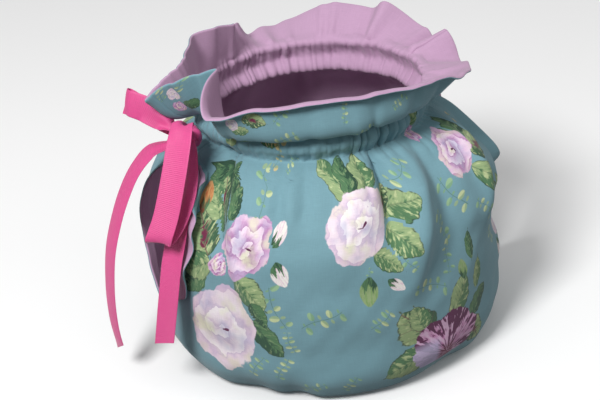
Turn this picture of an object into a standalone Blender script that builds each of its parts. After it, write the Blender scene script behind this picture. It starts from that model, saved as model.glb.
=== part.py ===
"""A wrap-round tea cosy in its worn shape, standing on its hem.

Two panels of printed cotton, each bagged out with a plain lining, meet at the handle and the spout.
Both sides have a slit with turned edges. Two rows of stitching make the neck channel, a ribbon in it
is tied in a bow over the handle slit, and the cloth above the channel is a ruffle.
+Z is up, the handle slit faces -X, the spout slit faces +X and the front panel faces -Y.
"""

import math
from collections import namedtuple

import bmesh
import bpy
import numpy as np
from mathutils import Vector

MM = 0.001

# ---- driving dimensions, in metres ----
CLOTH = 0.0012  # one layer of cotton with its turnings
LAYER_GAP = 0.0003  # between the print and its lining
PANEL_GAP = 0.0003  # between the two panels where they meet at the sides
HEM_INNER = 0.079  # radius of the hem's inner edge, drawn in under the pot
HEM_OUTER = 0.087  # radius where the hem turns up from the table
CHANNEL_FOOT = 0.142  # height of the lower row of stitching
CHANNEL_TOP = 0.161  # height of the upper row of stitching
TURN_RADIUS = 0.0019  # of the cloth where it turns back along a slit
RIBBON_WIDTH = 0.015
RIBBON_THICK = 0.001
KNOT_HALF = Vector((0.0052, 0.0085, 0.0075))
KNOT_CENTRE = Vector((-0.0803, -0.005, 0.150))
BOX_CENTRE = Vector((-0.0148, -0.0020, 0.0))  # middle of the whole piece, bow included, seen from above

# The middle of the cloth from the hem up through the channel, as the teapot fills it, in millimetres.
HEM_LEVEL = CLOTH + LAYER_GAP / 2  # of the middle between the print and its lining, under the hem
Profile = namedtuple("Profile", "height radius")
WALL = (
    Profile(HEM_LEVEL / MM, HEM_OUTER / MM),
    Profile(4, 92),
    Profile(12, 98.5),
    Profile(40, 104),
    Profile(75, 106),
    Profile(105, 103.5),
    Profile(120, 96.5),
    Profile(131, 87),
    Profile(137, 79),
    Profile(CHANNEL_FOOT / MM, 70),
    Profile(151, 73),
    Profile(CHANNEL_TOP / MM, 68.5),
)

# Folds of the wall: each runs from an angle at its top height to an angle at its foot height. Depth is
# positive for a ridge and negative for a valley, in millimetres, and falls off over a spread in degrees
# on its spout side and its handle side. Angles are about +Z: 0 is the spout, -90 the front.
Fold = namedtuple("Fold", "top_angle foot_angle top foot depth spout_spread handle_spread")
FOLDS = (
    Fold(-163, -143, 146, 84, -10.5, 7, 6),
    Fold(-148, -135, 140, 60, 3.5, 8, 6),
    Fold(-118, -112, 141, 100, -3.0, 6, 6),
    Fold(-104, -104, 141, 96, 3.0, 7, 7),
    Fold(-88, -94, 143, 92, -7.5, 5, 6),
    Fold(-76, -92, 138, 50, 6.0, 6, 6),
    Fold(-64, -76, 140, 58, -4.5, 7, 7),
    Fold(-38, -56, 143, 84, 6.5, 3.2, 9),
    Fold(-16, -30, 146, 92, -9.5, 22, 16),
    Fold(-24, -30, 96, 44, -8.0, 20, 18),
    Fold(24, 30, 142, 76, -5.0, 6, 6),
    Fold(40, 46, 140, 60, 3.5, 7, 7),
    Fold(58, 60, 142, 92, -4.0, 6, 6),
    Fold(76, 74, 141, 70, 3.0, 7, 7),
    Fold(94, 90, 143, 84, -5.5, 6, 6),
    Fold(110, 106, 140, 56, 3.5, 8, 8),
    Fold(128, 124, 142, 94, -4.0, 6, 6),
    Fold(146, 140, 142, 72, -5.0, 6, 6),
)

# Waves of the hem, whose elastic draws it in: how far it stands out at each angle, in millimetres.
Wave = namedtuple("Wave", "angle out")
HEM_WAVES = (
    Wave(-180, 0.0),
    Wave(-160, 1.0),
    Wave(-146, -4.6),
    Wave(-138, -2.2),
    Wave(-131, -4.8),
    Wave(-121, 0.8),
    Wave(-98, 0.6),
    Wave(-72, -3.6),
    Wave(-58, 2.0),
    Wave(-34, -1.4),
    Wave(-14, 1.6),
    Wave(8, -1.2),
    Wave(30, 1.8),
    Wave(52, -2.0),
    Wave(76, 1.6),
    Wave(92, -2.4),
    Wave(112, 2.0),
    Wave(134, -1.8),
    Wave(156, 1.4),
)

# The ruffle: at each angle its cloth leans from level (0) to upright (90) or past it over a length in
# millimetres, swells outward over the channel by puff degrees and rolls its edge over by lip degrees.
Lean = namedtuple("Lean", "angle lean length puff lip")
RUFFLE = (
    Lean(-166, 92, 32, 0, 0),
    Lean(-148, 32, 31, 16, 34),
    Lean(-130, 54, 31, 30, 62),
    Lean(-112, 62, 31, 32, 70),
    Lean(-90, 57, 31, 30, 66),
    Lean(-68, 46, 30, 26, 50),
    Lean(-50, 26, 29, 16, 24),
    Lean(-28, 8, 26, 6, 6),
    Lean(-11, -10, 28, 0, 0),
    Lean(0, 14, 28, 4, 0),
    Lean(10, -8, 27, 0, 0),
    Lean(15, 12, 27, 0, 2),
    Lean(33, 36, 28, 0, 4),
    Lean(40, 28, 29, 4, 6),
    Lean(52, 34, 28, 4, 6),
    Lean(78, 5, 28, 4, 0),
    Lean(88, 2, 26, 0, 0),
    Lean(99, 60, 20, 0, 0),
    Lean(110, 112, 26, 0, 0),
    Lean(122, 98, 28, 0, 0),
    Lean(134, 82, 28, 0, 0),
    Lean(146, 86, 28, 0, 0),
    Lean(160, 81, 28, 0, 2),
    Lean(168, 60, 29, 0, 4),
    Lean(177, 29, 35, 4, 4),
)

# The slits: heights of each slit's foot, widest part and top in millimetres, how many degrees the
# front and back panel open there, and how many degrees each panel's edge is turned back.
Slit = namedtuple("Slit", "foot widest top front_angle back_angle front_turn back_turn")
SPOUT_SLIT = Slit(28, 100, 139, 15, 15, 50, 40)
HANDLE_SLIT = Slit(28, 112, 139, 10.5, 15, 172, 60)

# Mesh rows from the hem up: shares of the hem, heights on the wall, shares of the ruffle's length.
HEM_ROWS = (0.0, 0.5, 1.0)
WALL_ROWS = (4, 12, 28, 50, 75, 97, 112, 122, 130, 136, CHANNEL_FOOT / MM, 151, CHANNEL_TOP / MM)
RUFFLE_ROWS = (0.14, 0.32, 0.52, 0.72, 0.88, 1.0)
ON_SEAM = 1e-6  # metres: closer than this to the middle plane, a point lies on a closed seam
PANEL_COLUMNS = 31
TURNED_COLUMNS = (0.0016, 0.003, 0.0044, 0.0058, 0.0096)  # columns past the fold line beside a slit
TURNED_BAND = TURNED_COLUMNS[-1]
BEYOND = TURNED_BAND + 0.001  # one more column past the edge, which only sets the edge's slope
CROWDING = 0.6  # how much closer the columns lie by the handle

# The ribbon's routes, in millimetres: each point has the direction in which the ribbon's width lies,
# as a turn about the vertical and a tilt up from level, and how far the knot leaves the ribbon spread.
Route = namedtuple("Route", "x y z turn tilt spread")
BOW_LOOP_FRONT = (
    Route(-86.1, -9.5, 154.6, -90, 0, 0.40),
    Route(-88.5, -12.5, 157.5, -80, 0, 0.50),
    Route(-91.8, -20, 164, -50, 0, 0.90),
    Route(-97.5, -28, 161.2, -36, 0, 1.0),
    Route(-105.9, -34, 143.3, -30, 0, 1.0),
    Route(-113.9, -37, 123.3, -28, 0, 1.0),
    Route(-120.4, -37, 109.3, -28, 0, 1.0),
    Route(-119.4, -33, 104.3, -30, 0, 1.0),
    Route(-112.4, -32, 111.3, -32, 0, 1.0),
    Route(-102.9, -30, 128.3, -40, 0, 0.9),
    Route(-94, -19, 143, -60, 0, 0.6),
    Route(-86.2, -9.5, 149.8, -90, 0, 0.40),
)
BOW_LOOP_BACK = (
    Route(-86.6, -1, 154.6, 90, 0, 0.40),
    Route(-89, 0.5, 156, 94, 30, 0.55),
    Route(-93, 6, 159, 100, 60, 0.9),
    Route(-100, 12, 164, 96, 68, 1.0),
    Route(-106, 19, 166, 50, 72, 1.0),
    Route(-105, 25, 165, 10, 72, 1.0),
    Route(-98, 23, 160, -40, 66, 0.9),
    Route(-91.5, 12, 153.5, -70, 50, 0.7),
    Route(-86.6, 0, 149.8, -90, 0, 0.40),
)
TAIL_FRONT = (
    Route(-85.9, -9.5, 145.2, -90, 0, 0.40),
    Route(-91, -13.5, 139.5, -80, 0, 0.7),
    Route(-99, -19.5, 126.5, -72, 0, 1.0),
    Route(-108.3, -25.8, 108.8, -68, 0, 1.0),
    Route(-113.8, -27.3, 90.8, -68, 0, 1.0),
    Route(-116.8, -27.6, 72.8, -68, 0, 1.0),
    Route(-119.6, -27.6, 54.6, -68, 0, 1.0),
    Route(-122.5, -27.5, 38.5, -68, 0, 1.0),
)
TAIL_BACK = (
    Route(-85.9, -0.5, 145.2, 90, 0, 0.40),
    Route(-91, 3, 146.5, 88, 0, 0.8),
    Route(-101, 9, 143, 88, 0, 1.0),
    Route(-110, 12, 134, 88, 0, 1.0),
    Route(-118, 13, 122, 90, 0, 1.0),
    Route(-126, 13, 106, 90, 0, 1.0),
    Route(-133, 13, 86, 90, 0, 1.0),
    Route(-137, 13, 62, 90, 0, 1.0),
    Route(-138, 13, 40, 90, 0, 1.0),
    Route(-136.5, 13, 20, 90, 0, 1.0),
)
ROUTE_STEPS = 4  # mesh rows between two points of a route
LEAN_STEPS = 24  # steps in which the ruffle's curve is followed

PRINT = ("printed_cotton", (0.22, 0.40, 0.45), 0.85)
PLAIN = ("plain_cotton", (0.68, 0.45, 0.66), 0.85)
RIBBON = ("grosgrain", (0.90, 0.10, 0.32), 0.55)


def clear_scene():
    for thing in list(bpy.data.objects):
        bpy.data.objects.remove(thing, do_unlink=True)


def material(name, colour, roughness):
    found = bpy.data.materials.get(name)
    if found:
        return found
    made = bpy.data.materials.new(name)
    made.use_nodes = True
    shader = made.node_tree.nodes["Principled BSDF"]
    shader.inputs["Base Color"].default_value = (*colour, 1.0)
    shader.inputs["Roughness"].default_value = roughness
    shader.inputs["Metallic"].default_value = 0.0
    return made


def eased(share):
    share = min(max(share, 0.0), 1.0)
    return share * share * (3.0 - 2.0 * share)


def through(rows, key, value, at):
    """A smooth curve through the table's rows, read at a height."""
    keys = [getattr(row, key) for row in rows]
    values = [getattr(row, value) for row in rows]
    at = min(max(at, keys[0]), keys[-1])
    slopes = np.gradient(values, keys)
    low = min(int(np.searchsorted(keys, at, side="right")) - 1, len(keys) - 2)
    span = keys[low + 1] - keys[low]
    t = (at - keys[low]) / span
    return (
        (2 * t**3 - 3 * t**2 + 1) * values[low]
        + (t**3 - 2 * t**2 + t) * span * slopes[low]
        + (3 * t**2 - 2 * t**3) * values[low + 1]
        + (t**3 - t**2) * span * slopes[low + 1]
    )


def around(rows, column, angle):
    """The column's value at an angle, eased from row to row right round the cosy."""
    angles = [row.angle for row in rows]
    turned = (angle - angles[0]) % 360.0 + angles[0]
    low = int(np.searchsorted(angles, turned, side="right")) - 1
    first = rows[low]
    second = rows[(low + 1) % len(rows)]
    span = (second.angle - first.angle) % 360.0
    share = eased((turned - first.angle) / span)
    return getattr(first, column) * (1.0 - share) + getattr(second, column) * share


def fold_relief(angle, height):
    """How far the folds push the wall in or out, in millimetres."""
    relief = 0.0
    for fold in FOLDS:
        share = (fold.top - height) / (fold.top - fold.foot)
        if not 0.0 < share < 1.0:
            continue
        line = fold.top_angle + (fold.foot_angle - fold.top_angle) * share
        off = (angle - line + 180.0) % 360.0 - 180.0
        spread = fold.spout_spread if (off > 0) == (line < 0) else fold.handle_spread
        strength = eased(share / 0.18) * eased((1.0 - share) / 0.6)
        relief += fold.depth * strength * math.exp(-((off / spread) ** 2))
    return relief


def hem_relief(angle, height):
    return around(HEM_WAVES, "out", angle) * eased(1.0 - height / 30.0)


def ring_point(angle, radius, height):
    turn = math.radians(angle)
    return Vector((radius * math.cos(turn), radius * math.sin(turn), height))


def hem_point(angle, share):
    radius = HEM_INNER + (HEM_OUTER - HEM_INNER) * share
    radius += hem_relief(angle, 0.0) * MM * share
    return ring_point(angle, radius, HEM_LEVEL)


def wall_point(angle, height):
    radius = through(WALL, "height", "radius", height)
    radius += fold_relief(angle, height) + hem_relief(angle, height)
    return ring_point(angle, radius * MM, height * MM)


def ruffle_point(angle, share):
    """Walks up the ruffle's cross-section: out over the channel, up at its lean, and over at the lip."""
    lean = around(RUFFLE, "lean", angle)
    length = around(RUFFLE, "length", angle)
    puff = around(RUFFLE, "puff", angle)
    lip = around(RUFFLE, "lip", angle)
    out = through(WALL, "height", "radius", CHANNEL_TOP / MM)
    up = CHANNEL_TOP / MM
    for step in range(LEAN_STEPS):
        at = (step + 0.5) / LEAN_STEPS
        if at > share:
            break
        slope = lean - puff * (1.0 - eased(at / 0.35)) + 0.5 * puff * math.sin(math.pi * at) ** 2
        slope -= lip * eased((at - 0.62) / 0.3)
        out += length / LEAN_STEPS * math.cos(math.radians(slope))
        up += length / LEAN_STEPS * math.sin(math.radians(slope))
    return ring_point(angle, out * MM, up * MM)


def cloth_point(angle, kind, at):
    return {"hem": hem_point, "wall": wall_point, "ruffle": ruffle_point}[kind](angle, at)


def slit_opening(slit, kind, height):
    """How far the slit is open at a height, from 0 at its ends to 1 where it is widest."""
    if kind != "wall" or not slit.foot < height < slit.top:
        return 0.0
    if height < slit.widest:
        return eased((height - slit.foot) / (slit.widest - slit.foot))
    return 1.0 - ((height - slit.widest) / (slit.top - slit.widest)) ** 2


def edge_point(side, edge, to_slit, into, kind, at, turn):
    """A point beside a slit, into metres past the fold line, where the cloth turns back by turn degrees."""
    reach = cloth_point(side * edge, kind, at).xy.length
    angle = edge - to_slit * math.degrees((TURNED_BAND - into) / reach)
    point = cloth_point(side * angle, kind, at)
    ahead = cloth_point(side * (angle + to_slit * 0.2), kind, at)
    behind = cloth_point(side * (angle - to_slit * 0.2), kind, at)
    along = (ahead - behind).normalized()
    outward = Vector((along.y, -along.x, 0.0)) * (side * to_slit)
    curl = math.radians(turn)
    bent = min(into / TURN_RADIUS, curl)
    straight = into - bent * TURN_RADIUS
    reached = TURN_RADIUS * math.sin(bent) + straight * math.cos(bent)
    risen = TURN_RADIUS * (1.0 - math.cos(bent)) + straight * math.sin(bent)
    return point + along * (reached - into) + outward * risen


def column_shares():
    """Columns across a panel, from the spout to the handle, closer together by the handle's pleats."""
    fine = np.linspace(0.0, 1.0, 400)
    weight = 1.0 + CROWDING * np.clip((fine - 0.6) / 0.3, 0.0, 1.0)
    running = np.concatenate([[0.0], np.cumsum((weight[1:] + weight[:-1]) / 2)])
    return np.interp(np.linspace(0.0, running[-1], PANEL_COLUMNS + 1), running, fine)


def stations():
    rows = [("hem", share) for share in HEM_ROWS]
    rows += [("wall", height) for height in WALL_ROWS]
    return rows + [("ruffle", share) for share in RUFFLE_ROWS]


def panel_row(side, kind, at, shares):
    """One row of a panel, from the spout to the handle, with a point past each end."""
    spout_open = slit_opening(SPOUT_SLIT, kind, at)
    handle_open = slit_opening(HANDLE_SLIT, kind, at)
    first = (SPOUT_SLIT.front_angle if side < 0 else SPOUT_SLIT.back_angle) * spout_open
    last = 180.0 - (HANDLE_SLIT.front_angle if side < 0 else HANDLE_SLIT.back_angle) * handle_open
    spout_turn = (SPOUT_SLIT.front_turn if side < 0 else SPOUT_SLIT.back_turn) * spout_open
    handle_turn = (HANDLE_SLIT.front_turn if side < 0 else HANDLE_SLIT.back_turn) * handle_open
    reach = cloth_point(side * 90.0, kind, at).xy.length
    band = math.degrees(TURNED_BAND / reach)
    row = []
    past = TURNED_COLUMNS + (BEYOND,)
    for into in reversed(past):
        row.append(edge_point(side, first, -1, into, kind, at, spout_turn))
    for share in shares:
        angle = first + band + (last - first - 2 * band) * share
        row.append(cloth_point(side * angle, kind, at))
    for into in past:
        row.append(edge_point(side, last, 1, into, kind, at, handle_turn))
    return row


def panel_layers(side, inner, outer):
    """Two faces of a sheet, inner and outer metres off the middle surface, as grids from the hem up."""
    shares = column_shares()
    grid = [panel_row(side, kind, at, shares) for kind, at in stations()]
    shift = Vector((0.0, side * PANEL_GAP / 2, 0.0))
    faces = ([], [])
    for r, row in enumerate(grid):
        below = grid[max(r - 1, 0)]
        above = grid[min(r + 1, len(grid) - 1)]
        for layer in faces:
            layer.append([])
        for n in range(1, len(row) - 1):
            normal = (row[n + 1] - row[n - 1]).cross(above[n] - below[n]) * side
            if abs(row[n].y) < ON_SEAM:
                normal.y = 0.0
            normal.normalize()
            faces[0][-1].append(row[n] + shift + normal * inner)
            faces[1][-1].append(row[n] + shift + normal * outer)
    return faces


def sheet_mesh(name, layers, flip):
    """A closed sheet between two grids of points. Every square is split along the same diagonal, so that
    the faces of neighbouring sheets stay side by side."""
    mesh = bpy.data.meshes.new(name)
    shape = bmesh.new()
    inner, outer = ([[shape.verts.new(point) for point in row] for row in layer] for layer in layers)

    def square(a, b, c, d, turned):
        for corners in ((a, b, d), (b, c, d)):
            shape.faces.new(corners[::-1] if turned != flip else corners)

    last_row, last = len(inner) - 1, len(inner[0]) - 1
    for r in range(last_row):
        for n in range(last):
            for layer, turned in ((outer, False), (inner, True)):
                square(layer[r][n], layer[r][n + 1], layer[r + 1][n + 1], layer[r + 1][n], turned)
        square(inner[r][0], outer[r][0], outer[r + 1][0], inner[r + 1][0], False)
        square(inner[r][last], outer[r][last], outer[r + 1][last], inner[r + 1][last], True)
    for n in range(last):
        square(inner[0][n], inner[0][n + 1], outer[0][n + 1], outer[0][n], False)
        square(inner[last_row][n], inner[last_row][n + 1], outer[last_row][n + 1], outer[last_row][n], True)
    shape.normal_update()
    shape.to_mesh(mesh)
    shape.free()
    return mesh


def add_object(name, mesh, finish):
    """The mesh as an object, moved so that the whole piece's middle is over the origin."""
    made = bpy.data.objects.new(name, mesh)
    bpy.context.scene.collection.objects.link(made)
    made.location = -BOX_CENTRE
    mesh.materials.append(material(*finish))
    mesh.shade_smooth()
    return made


def cloth_panel(name, side, outside, finish):
    """One sheet of cotton: the print lies outside the middle surface and the lining inside it."""
    near, far = LAYER_GAP / 2, LAYER_GAP / 2 + CLOTH
    layers = panel_layers(side, near, far) if outside else panel_layers(side, -far, -near)
    return add_object(name, sheet_mesh(name, layers, flip=side < 0), finish)


def smooth_route(route):
    """Points and width vectors along a smooth curve through the route's own points."""
    places = [Vector((p.x, p.y, p.z)) * MM for p in route]
    widths = []
    for p in route:
        turn, tilt = math.radians(p.turn), math.radians(p.tilt)
        level = math.cos(tilt)
        widths.append(Vector((math.cos(turn) * level, math.sin(turn) * level, math.sin(tilt))) * p.spread)
    stops = []
    for n in range(len(route) - 1):
        before, after = max(n - 1, 0), min(n + 2, len(route) - 1)
        for step in range(ROUTE_STEPS + (n == len(route) - 2)):
            t = step / ROUTE_STEPS
            stops.append(
                [catmull_rom(v[before], v[n], v[n + 1], v[after], t) for v in (places, widths)]
            )
    return stops


def catmull_rom(a, b, c, d, t):
    """The Catmull-Rom curve from b to c, with a and d as their outer neighbours."""
    return 0.5 * (2 * b + (c - a) * t + (2 * a - 5 * b + 4 * c - d) * t**2 + (3 * b - a - 3 * c + d) * t**3)


def ribbon(name, route):
    """A flat ribbon along a route, as a closed sheet with a crease line down its middle."""
    stops = smooth_route(route)
    layers = ([], [])
    for n, (place, width) in enumerate(stops):
        ahead = stops[min(n + 1, len(stops) - 1)][0] - stops[max(n - 1, 0)][0]
        ahead.normalize()
        across = (width - ahead * width.dot(ahead)).normalized() * width.length * RIBBON_WIDTH
        rise = across.cross(ahead).normalized() * RIBBON_THICK / 2
        for layer, off in zip(layers, (-rise, rise)):
            layer.append([place + off + across * k for k in (-0.5, 0.0, 0.5)])
    return add_object(name, sheet_mesh(name, layers, False), RIBBON)


def knot(name):
    """The ribbon wrapped once round the bow's middle: a soft block with rounded sides."""
    mesh = bpy.data.meshes.new(name)
    shape = bmesh.new()
    bmesh.ops.create_icosphere(shape, subdivisions=2, radius=1.0)
    for vert in shape.verts:
        soft = [math.copysign(abs(value) ** 0.7, value) for value in vert.co]
        vert.co = Vector([soft[k] * KNOT_HALF[k] for k in range(3)]) + KNOT_CENTRE
    shape.to_mesh(mesh)
    shape.free()
    return add_object(name, mesh, RIBBON)


def build():
    clear_scene()
    for label, side in (("front", -1), ("back", 1)):
        cloth_panel(f"{label}_panel", side, True, PRINT)
        cloth_panel(f"{label}_lining", side, False, PLAIN)
    knot("ribbon_knot")
    ribbon("bow_loop_front", BOW_LOOP_FRONT)
    ribbon("bow_loop_back", BOW_LOOP_BACK)
    ribbon("ribbon_tail_front", TAIL_FRONT)
    ribbon("ribbon_tail_back", TAIL_BACK)


build()
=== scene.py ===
# %% [markdown]
# # A wrap-round tea cosy
# The cosy stands on its hem in the shape in which it fits round a pot. It is made of two printed panels,
# two plain linings and one pink ribbon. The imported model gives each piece's place and rough form. This
# script makes every piece again, finer, from the same sizes, and gives it its cloth.

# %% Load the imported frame
import math
from collections import namedtuple
from functools import partial

import bpy
import numpy as np
from mathutils import Matrix, Vector


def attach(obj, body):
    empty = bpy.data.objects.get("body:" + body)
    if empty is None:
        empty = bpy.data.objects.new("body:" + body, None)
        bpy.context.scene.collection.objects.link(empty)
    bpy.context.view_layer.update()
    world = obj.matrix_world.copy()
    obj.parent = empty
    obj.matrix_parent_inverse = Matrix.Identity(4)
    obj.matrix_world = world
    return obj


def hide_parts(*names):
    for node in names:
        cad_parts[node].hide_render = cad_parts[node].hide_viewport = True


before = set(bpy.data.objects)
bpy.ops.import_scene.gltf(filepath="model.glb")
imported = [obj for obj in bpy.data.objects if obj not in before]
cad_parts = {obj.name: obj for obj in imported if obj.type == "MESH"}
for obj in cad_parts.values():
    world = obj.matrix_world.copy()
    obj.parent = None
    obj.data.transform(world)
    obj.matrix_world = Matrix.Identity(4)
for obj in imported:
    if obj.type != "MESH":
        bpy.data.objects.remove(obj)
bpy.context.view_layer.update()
print("packed nodes:", sorted(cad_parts))

# %% [markdown]
# Cloth is a sheet that bends but hardly stretches. Here it is a grid of points: the columns run round the
# cosy from the spout to the handle, and the rows run up from the hem to the ruffle's edge. All sizes are
# in millimetres and degrees until the mesh is made. The pot's own axis is a little to one side of the
# origin, because the bow hangs out on the handle's side.

# %% Driving sizes
MM = 0.001
AXIS = Vector((14.8, 2.0, 0.0))  # where the pot's axis stands in the frame
CLOTH_NEAR, CLOTH_FAR = 0.05, 0.80  # each cotton layer, measured from the middle between both
HEM_INNER, HEM_OUTER, HEM_LEVEL = 79.0, 87.0, 0.85
CHANNEL_FOOT, CHANNEL_TOP = 142.0, 161.0
CHANNEL_HOLLOW = 2.8  # the ribbon draws the channel's middle in by this much
SEAM_BAND, TURNED_BAND, WIDE_BAND, TURN_RADIUS = 1.2, 9.6, 15.5, 1.2
PANEL_GAP = 0.02
BODY_REACH, NECK_RADIUS = 106.0, 70
PANEL_WIDTH = math.pi * BODY_REACH
RIBBON_WIDTH = 15.0


def eased(share):
    """0 below 0, 1 above 1, and a smooth rise between them."""
    share = np.clip(share, 0.0, 1.0)
    return share * share * (3.0 - 2.0 * share)


print(f"each panel is {PANEL_WIDTH:.0f} mm wide before its neck and hem are drawn in")

# %% [markdown]
# The wall swells over the pot and is drawn in at the neck. A spline drawn by hand could say so, but a short
# table of heights and radii is easier to measure and to change. A Hermite curve runs smoothly through it.

# %% The wall's profile
def rows_of(kind, *rows):
    """A table whose rows are all of one kind."""
    return tuple(kind(*row) for row in rows)


Profile = namedtuple("Profile", "height radius")
WALL = rows_of(
    Profile,
    (HEM_LEVEL, HEM_OUTER), (4, 92), (12, 98.5), (40, 104), (75, 106), (105, 103.5), (120, 96.5),
    (131, 87), (137, 79), (CHANNEL_FOOT, NECK_RADIUS), (151, 73), (CHANNEL_TOP, 68.5),
)


def along_wall(height):
    """The wall's radius at a height: a Hermite curve through the table."""
    keys = np.array([row.height for row in WALL], float)
    values = np.array([row.radius for row in WALL], float)
    slopes = np.gradient(values, keys)
    height = np.clip(height, keys[0], keys[-1])
    low = np.clip(np.searchsorted(keys, height, side="right") - 1, 0, len(keys) - 2)
    span = keys[low + 1] - keys[low]
    t = (height - keys[low]) / span
    return (
        (2 * t**3 - 3 * t**2 + 1) * values[low]
        + (t**3 - 2 * t**2 + t) * span * slopes[low]
        + (3 * t**2 - 2 * t**3) * values[low + 1]
        + (t**3 - t**2) * span * slopes[low + 1]
    )


print("radius at the belly:", round(float(along_wall(75.0)), 1), "mm")

# %% [markdown]
# Where the cloth has more width than the pot has room for, it falls in folds. Each fold runs from an angle
# at its top height to an angle at its foot. A fold's two flanks have their own widths, in degrees, because
# a real fold leans to one side. Creases are the same, but narrow and sharp. All are added to the radius.
# They could be sculpted, but a row of numbers can be compared with the real fold and changed by itself.

# %% Folds and creases of the wall
Fold = namedtuple("Fold", "top_angle foot_angle top foot depth spout_spread handle_spread")
FOLDS = rows_of(
    Fold,
    (-163, -143, 146, 84, -10.5, 7, 6), (-148, -135, 140, 60, 3.5, 8, 6),
    (-118, -112, 141, 100, -3.0, 6, 6), (-104, -104, 141, 96, 3.0, 7, 7),
    (-88, -94, 143, 92, -7.5, 5, 6), (-79, -93, 138, 50, 6.0, 4, 6),
    (-64, -76, 140, 58, -4.5, 7, 7), (-38, -56, 143, 84, 6.5, 3.2, 9),
    (-16, -30, 146, 92, -9.5, 22, 16), (-24, -30, 96, 44, -8.0, 20, 18),
    (24, 30, 142, 76, -5.0, 6, 6), (40, 46, 140, 60, 3.5, 7, 7), (58, 60, 142, 92, -4.0, 6, 6),
    (76, 74, 141, 70, 3.0, 7, 7), (94, 90, 143, 84, -5.5, 6, 6), (110, 106, 140, 56, 3.5, 8, 8),
    (128, 124, 142, 94, -4.0, 6, 6), (146, 140, 142, 72, -5.0, 6, 6),
)
Crease = namedtuple("Crease", "top_angle foot_angle top foot depth spread")
CREASES = rows_of(
    Crease,
    (-89.5, -94.0, 143.5, 92, -6.5, 2.0), (-84.0, -89.0, 142, 84, 2.6, 2.8),
    (-168, -141, 147, 116, -6.0, 3.4), (-153, -131, 143.5, 30, 2.6, 2.2),
    (-158, -139, 143, 70, 1.4, 1.8), (-69, -76, 143, 66, -3.6, 3.2), (-75, -81, 142, 110, 1.2, 2.0),
    (-135.5, -134, 142, 108, 1.4, 1.7), (-131, -130, 143, 112, -1.9, 1.6),
    (-126.5, -126, 142, 104, 1.5, 1.8), (-121.5, -122, 143, 110, -1.9, 1.7),
    (-116, -117, 142, 106, 1.3, 2.0), (-110, -111, 143, 116, -1.6, 1.6),
    (-104, -104, 143, 122, 1.0, 1.4), (-98, -99, 143.5, 120, -1.8, 1.1),
    (-94.5, -96, 143, 126, 1.2, 1.0), (-46, -56, 143, 70, 2.8, 1.9), (-50, -60, 142, 84, -1.8, 2.6),
    (-60, -64, 142, 100, 1.2, 2.2), (31, 33, 143, 112, -2.2, 1.7), (51, 50, 142, 118, -1.8, 1.5),
    (68, 66, 143, 104, -2.4, 1.9), (83, 84, 142, 122, 1.6, 1.6), (100, 99, 143, 108, -2.2, 1.7),
    (119, 116, 142, 100, -2.0, 2.0), (138, 134, 143, 112, -2.4, 1.8),
    (156, 150, 142, 104, 1.8, 2.0),
)


def fold_relief(angle, height):
    """The broad folds of the wall and the sharper creases on them."""
    relief = np.zeros(np.broadcast(angle, height).shape)
    for fold in FOLDS + CREASES:
        is_crease = isinstance(fold, Crease)
        share = (fold.top - height) / (fold.top - fold.foot)
        line = fold.top_angle + (fold.foot_angle - fold.top_angle) * share
        off = (angle - line + 180.0) % 360.0 - 180.0
        if is_crease:
            spread = fold.spread * (1.0 + 0.8 * np.clip(share, 0.0, 1.0))
        else:
            spread = np.where((off > 0) == (line < 0), fold.spout_spread, fold.handle_spread)
        strength = eased(share / (0.08 if is_crease else 0.18)) * eased((1.0 - share) / 0.6)
        relief += fold.depth * strength * np.exp(-((off / spread) ** 2))
    return relief


print(len(FOLDS), "folds and", len(CREASES), "creases")

# %% [markdown]
# Above the channel the cloth is free, and it stands up or falls outwards as it likes. A table read right
# round the cosy says how it leans, how long it is, how it puffs out above the neck and how its lip turns
# over. A cloth simulation could let it fall, but a table keeps the fall that this cosy has. Small pleats
# lie on it. The hem has a table too: a few waves where the cloth stands on the floor.

# %% The ruffle and the hem
Pleat = namedtuple("Pleat", "angle valley step spread edge")
PLEATS = rows_of(
    Pleat,
    (32.5, -1.6, 2.6, 4.2, 1.0), (45, 0.8, 0.0, 5.0, 0.8), (53, -1.3, 0.5, 1.7, 0.5),
    (58, -1.2, 0.0, 1.3, 0.6), (3, -3.6, 0.6, 4.0, 0.8), (16, 1.2, 0.0, 6.0, 1.0),
    (-9, 1.6, 0.0, 5.5, 1.0), (-26, -1.3, 0.6, 3.0, 0.4), (-40, 1.2, 0.0, 5.0, 0.7),
    (-57, -1.4, 0.8, 3.2, 0.5), (-74, -1.0, -0.7, 3.4, 0.5), (-90, -1.6, 0.8, 2.6, 0.25),
    (-98, 1.2, 0.0, 3.0, 0.2), (-116, -0.8, 0.4, 4.5, 0.6), (-134, 0.8, 0.0, 5.5, 0.6),
    (-150, -1.4, 0.6, 3.0, 0.6), (74, -1.4, 0.6, 2.6, 0.6), (84, -2.4, 0.8, 3.0, 0.8),
    (97, 1.2, 0.0, 5.0, 0.7), (111, -1.2, 0.4, 3.0, 0.5), (128, -0.8, 0.0, 5.0, 0.2),
    (138, 1.0, 0.0, 3.6, 0.2), (152, -0.9, 0.3, 4.0, 0.2),
)
Wave = namedtuple("Wave", "angle out")
HEM_WAVES = rows_of(
    Wave,
    (-180, 0.0), (-160, 1.0), (-146, -4.6), (-138, -2.2), (-131, -4.8), (-121, 0.8), (-98, 0.6),
    (-72, -3.6), (-58, 2.0), (-34, -1.4), (-14, 1.6), (8, -1.2), (30, 1.8), (52, -2.0), (76, 1.6),
    (92, -2.4), (112, 2.0), (134, -1.8), (156, 1.4),
)
Lean = namedtuple("Lean", "angle lean length puff lip bend", defaults=(0.0,))
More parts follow.
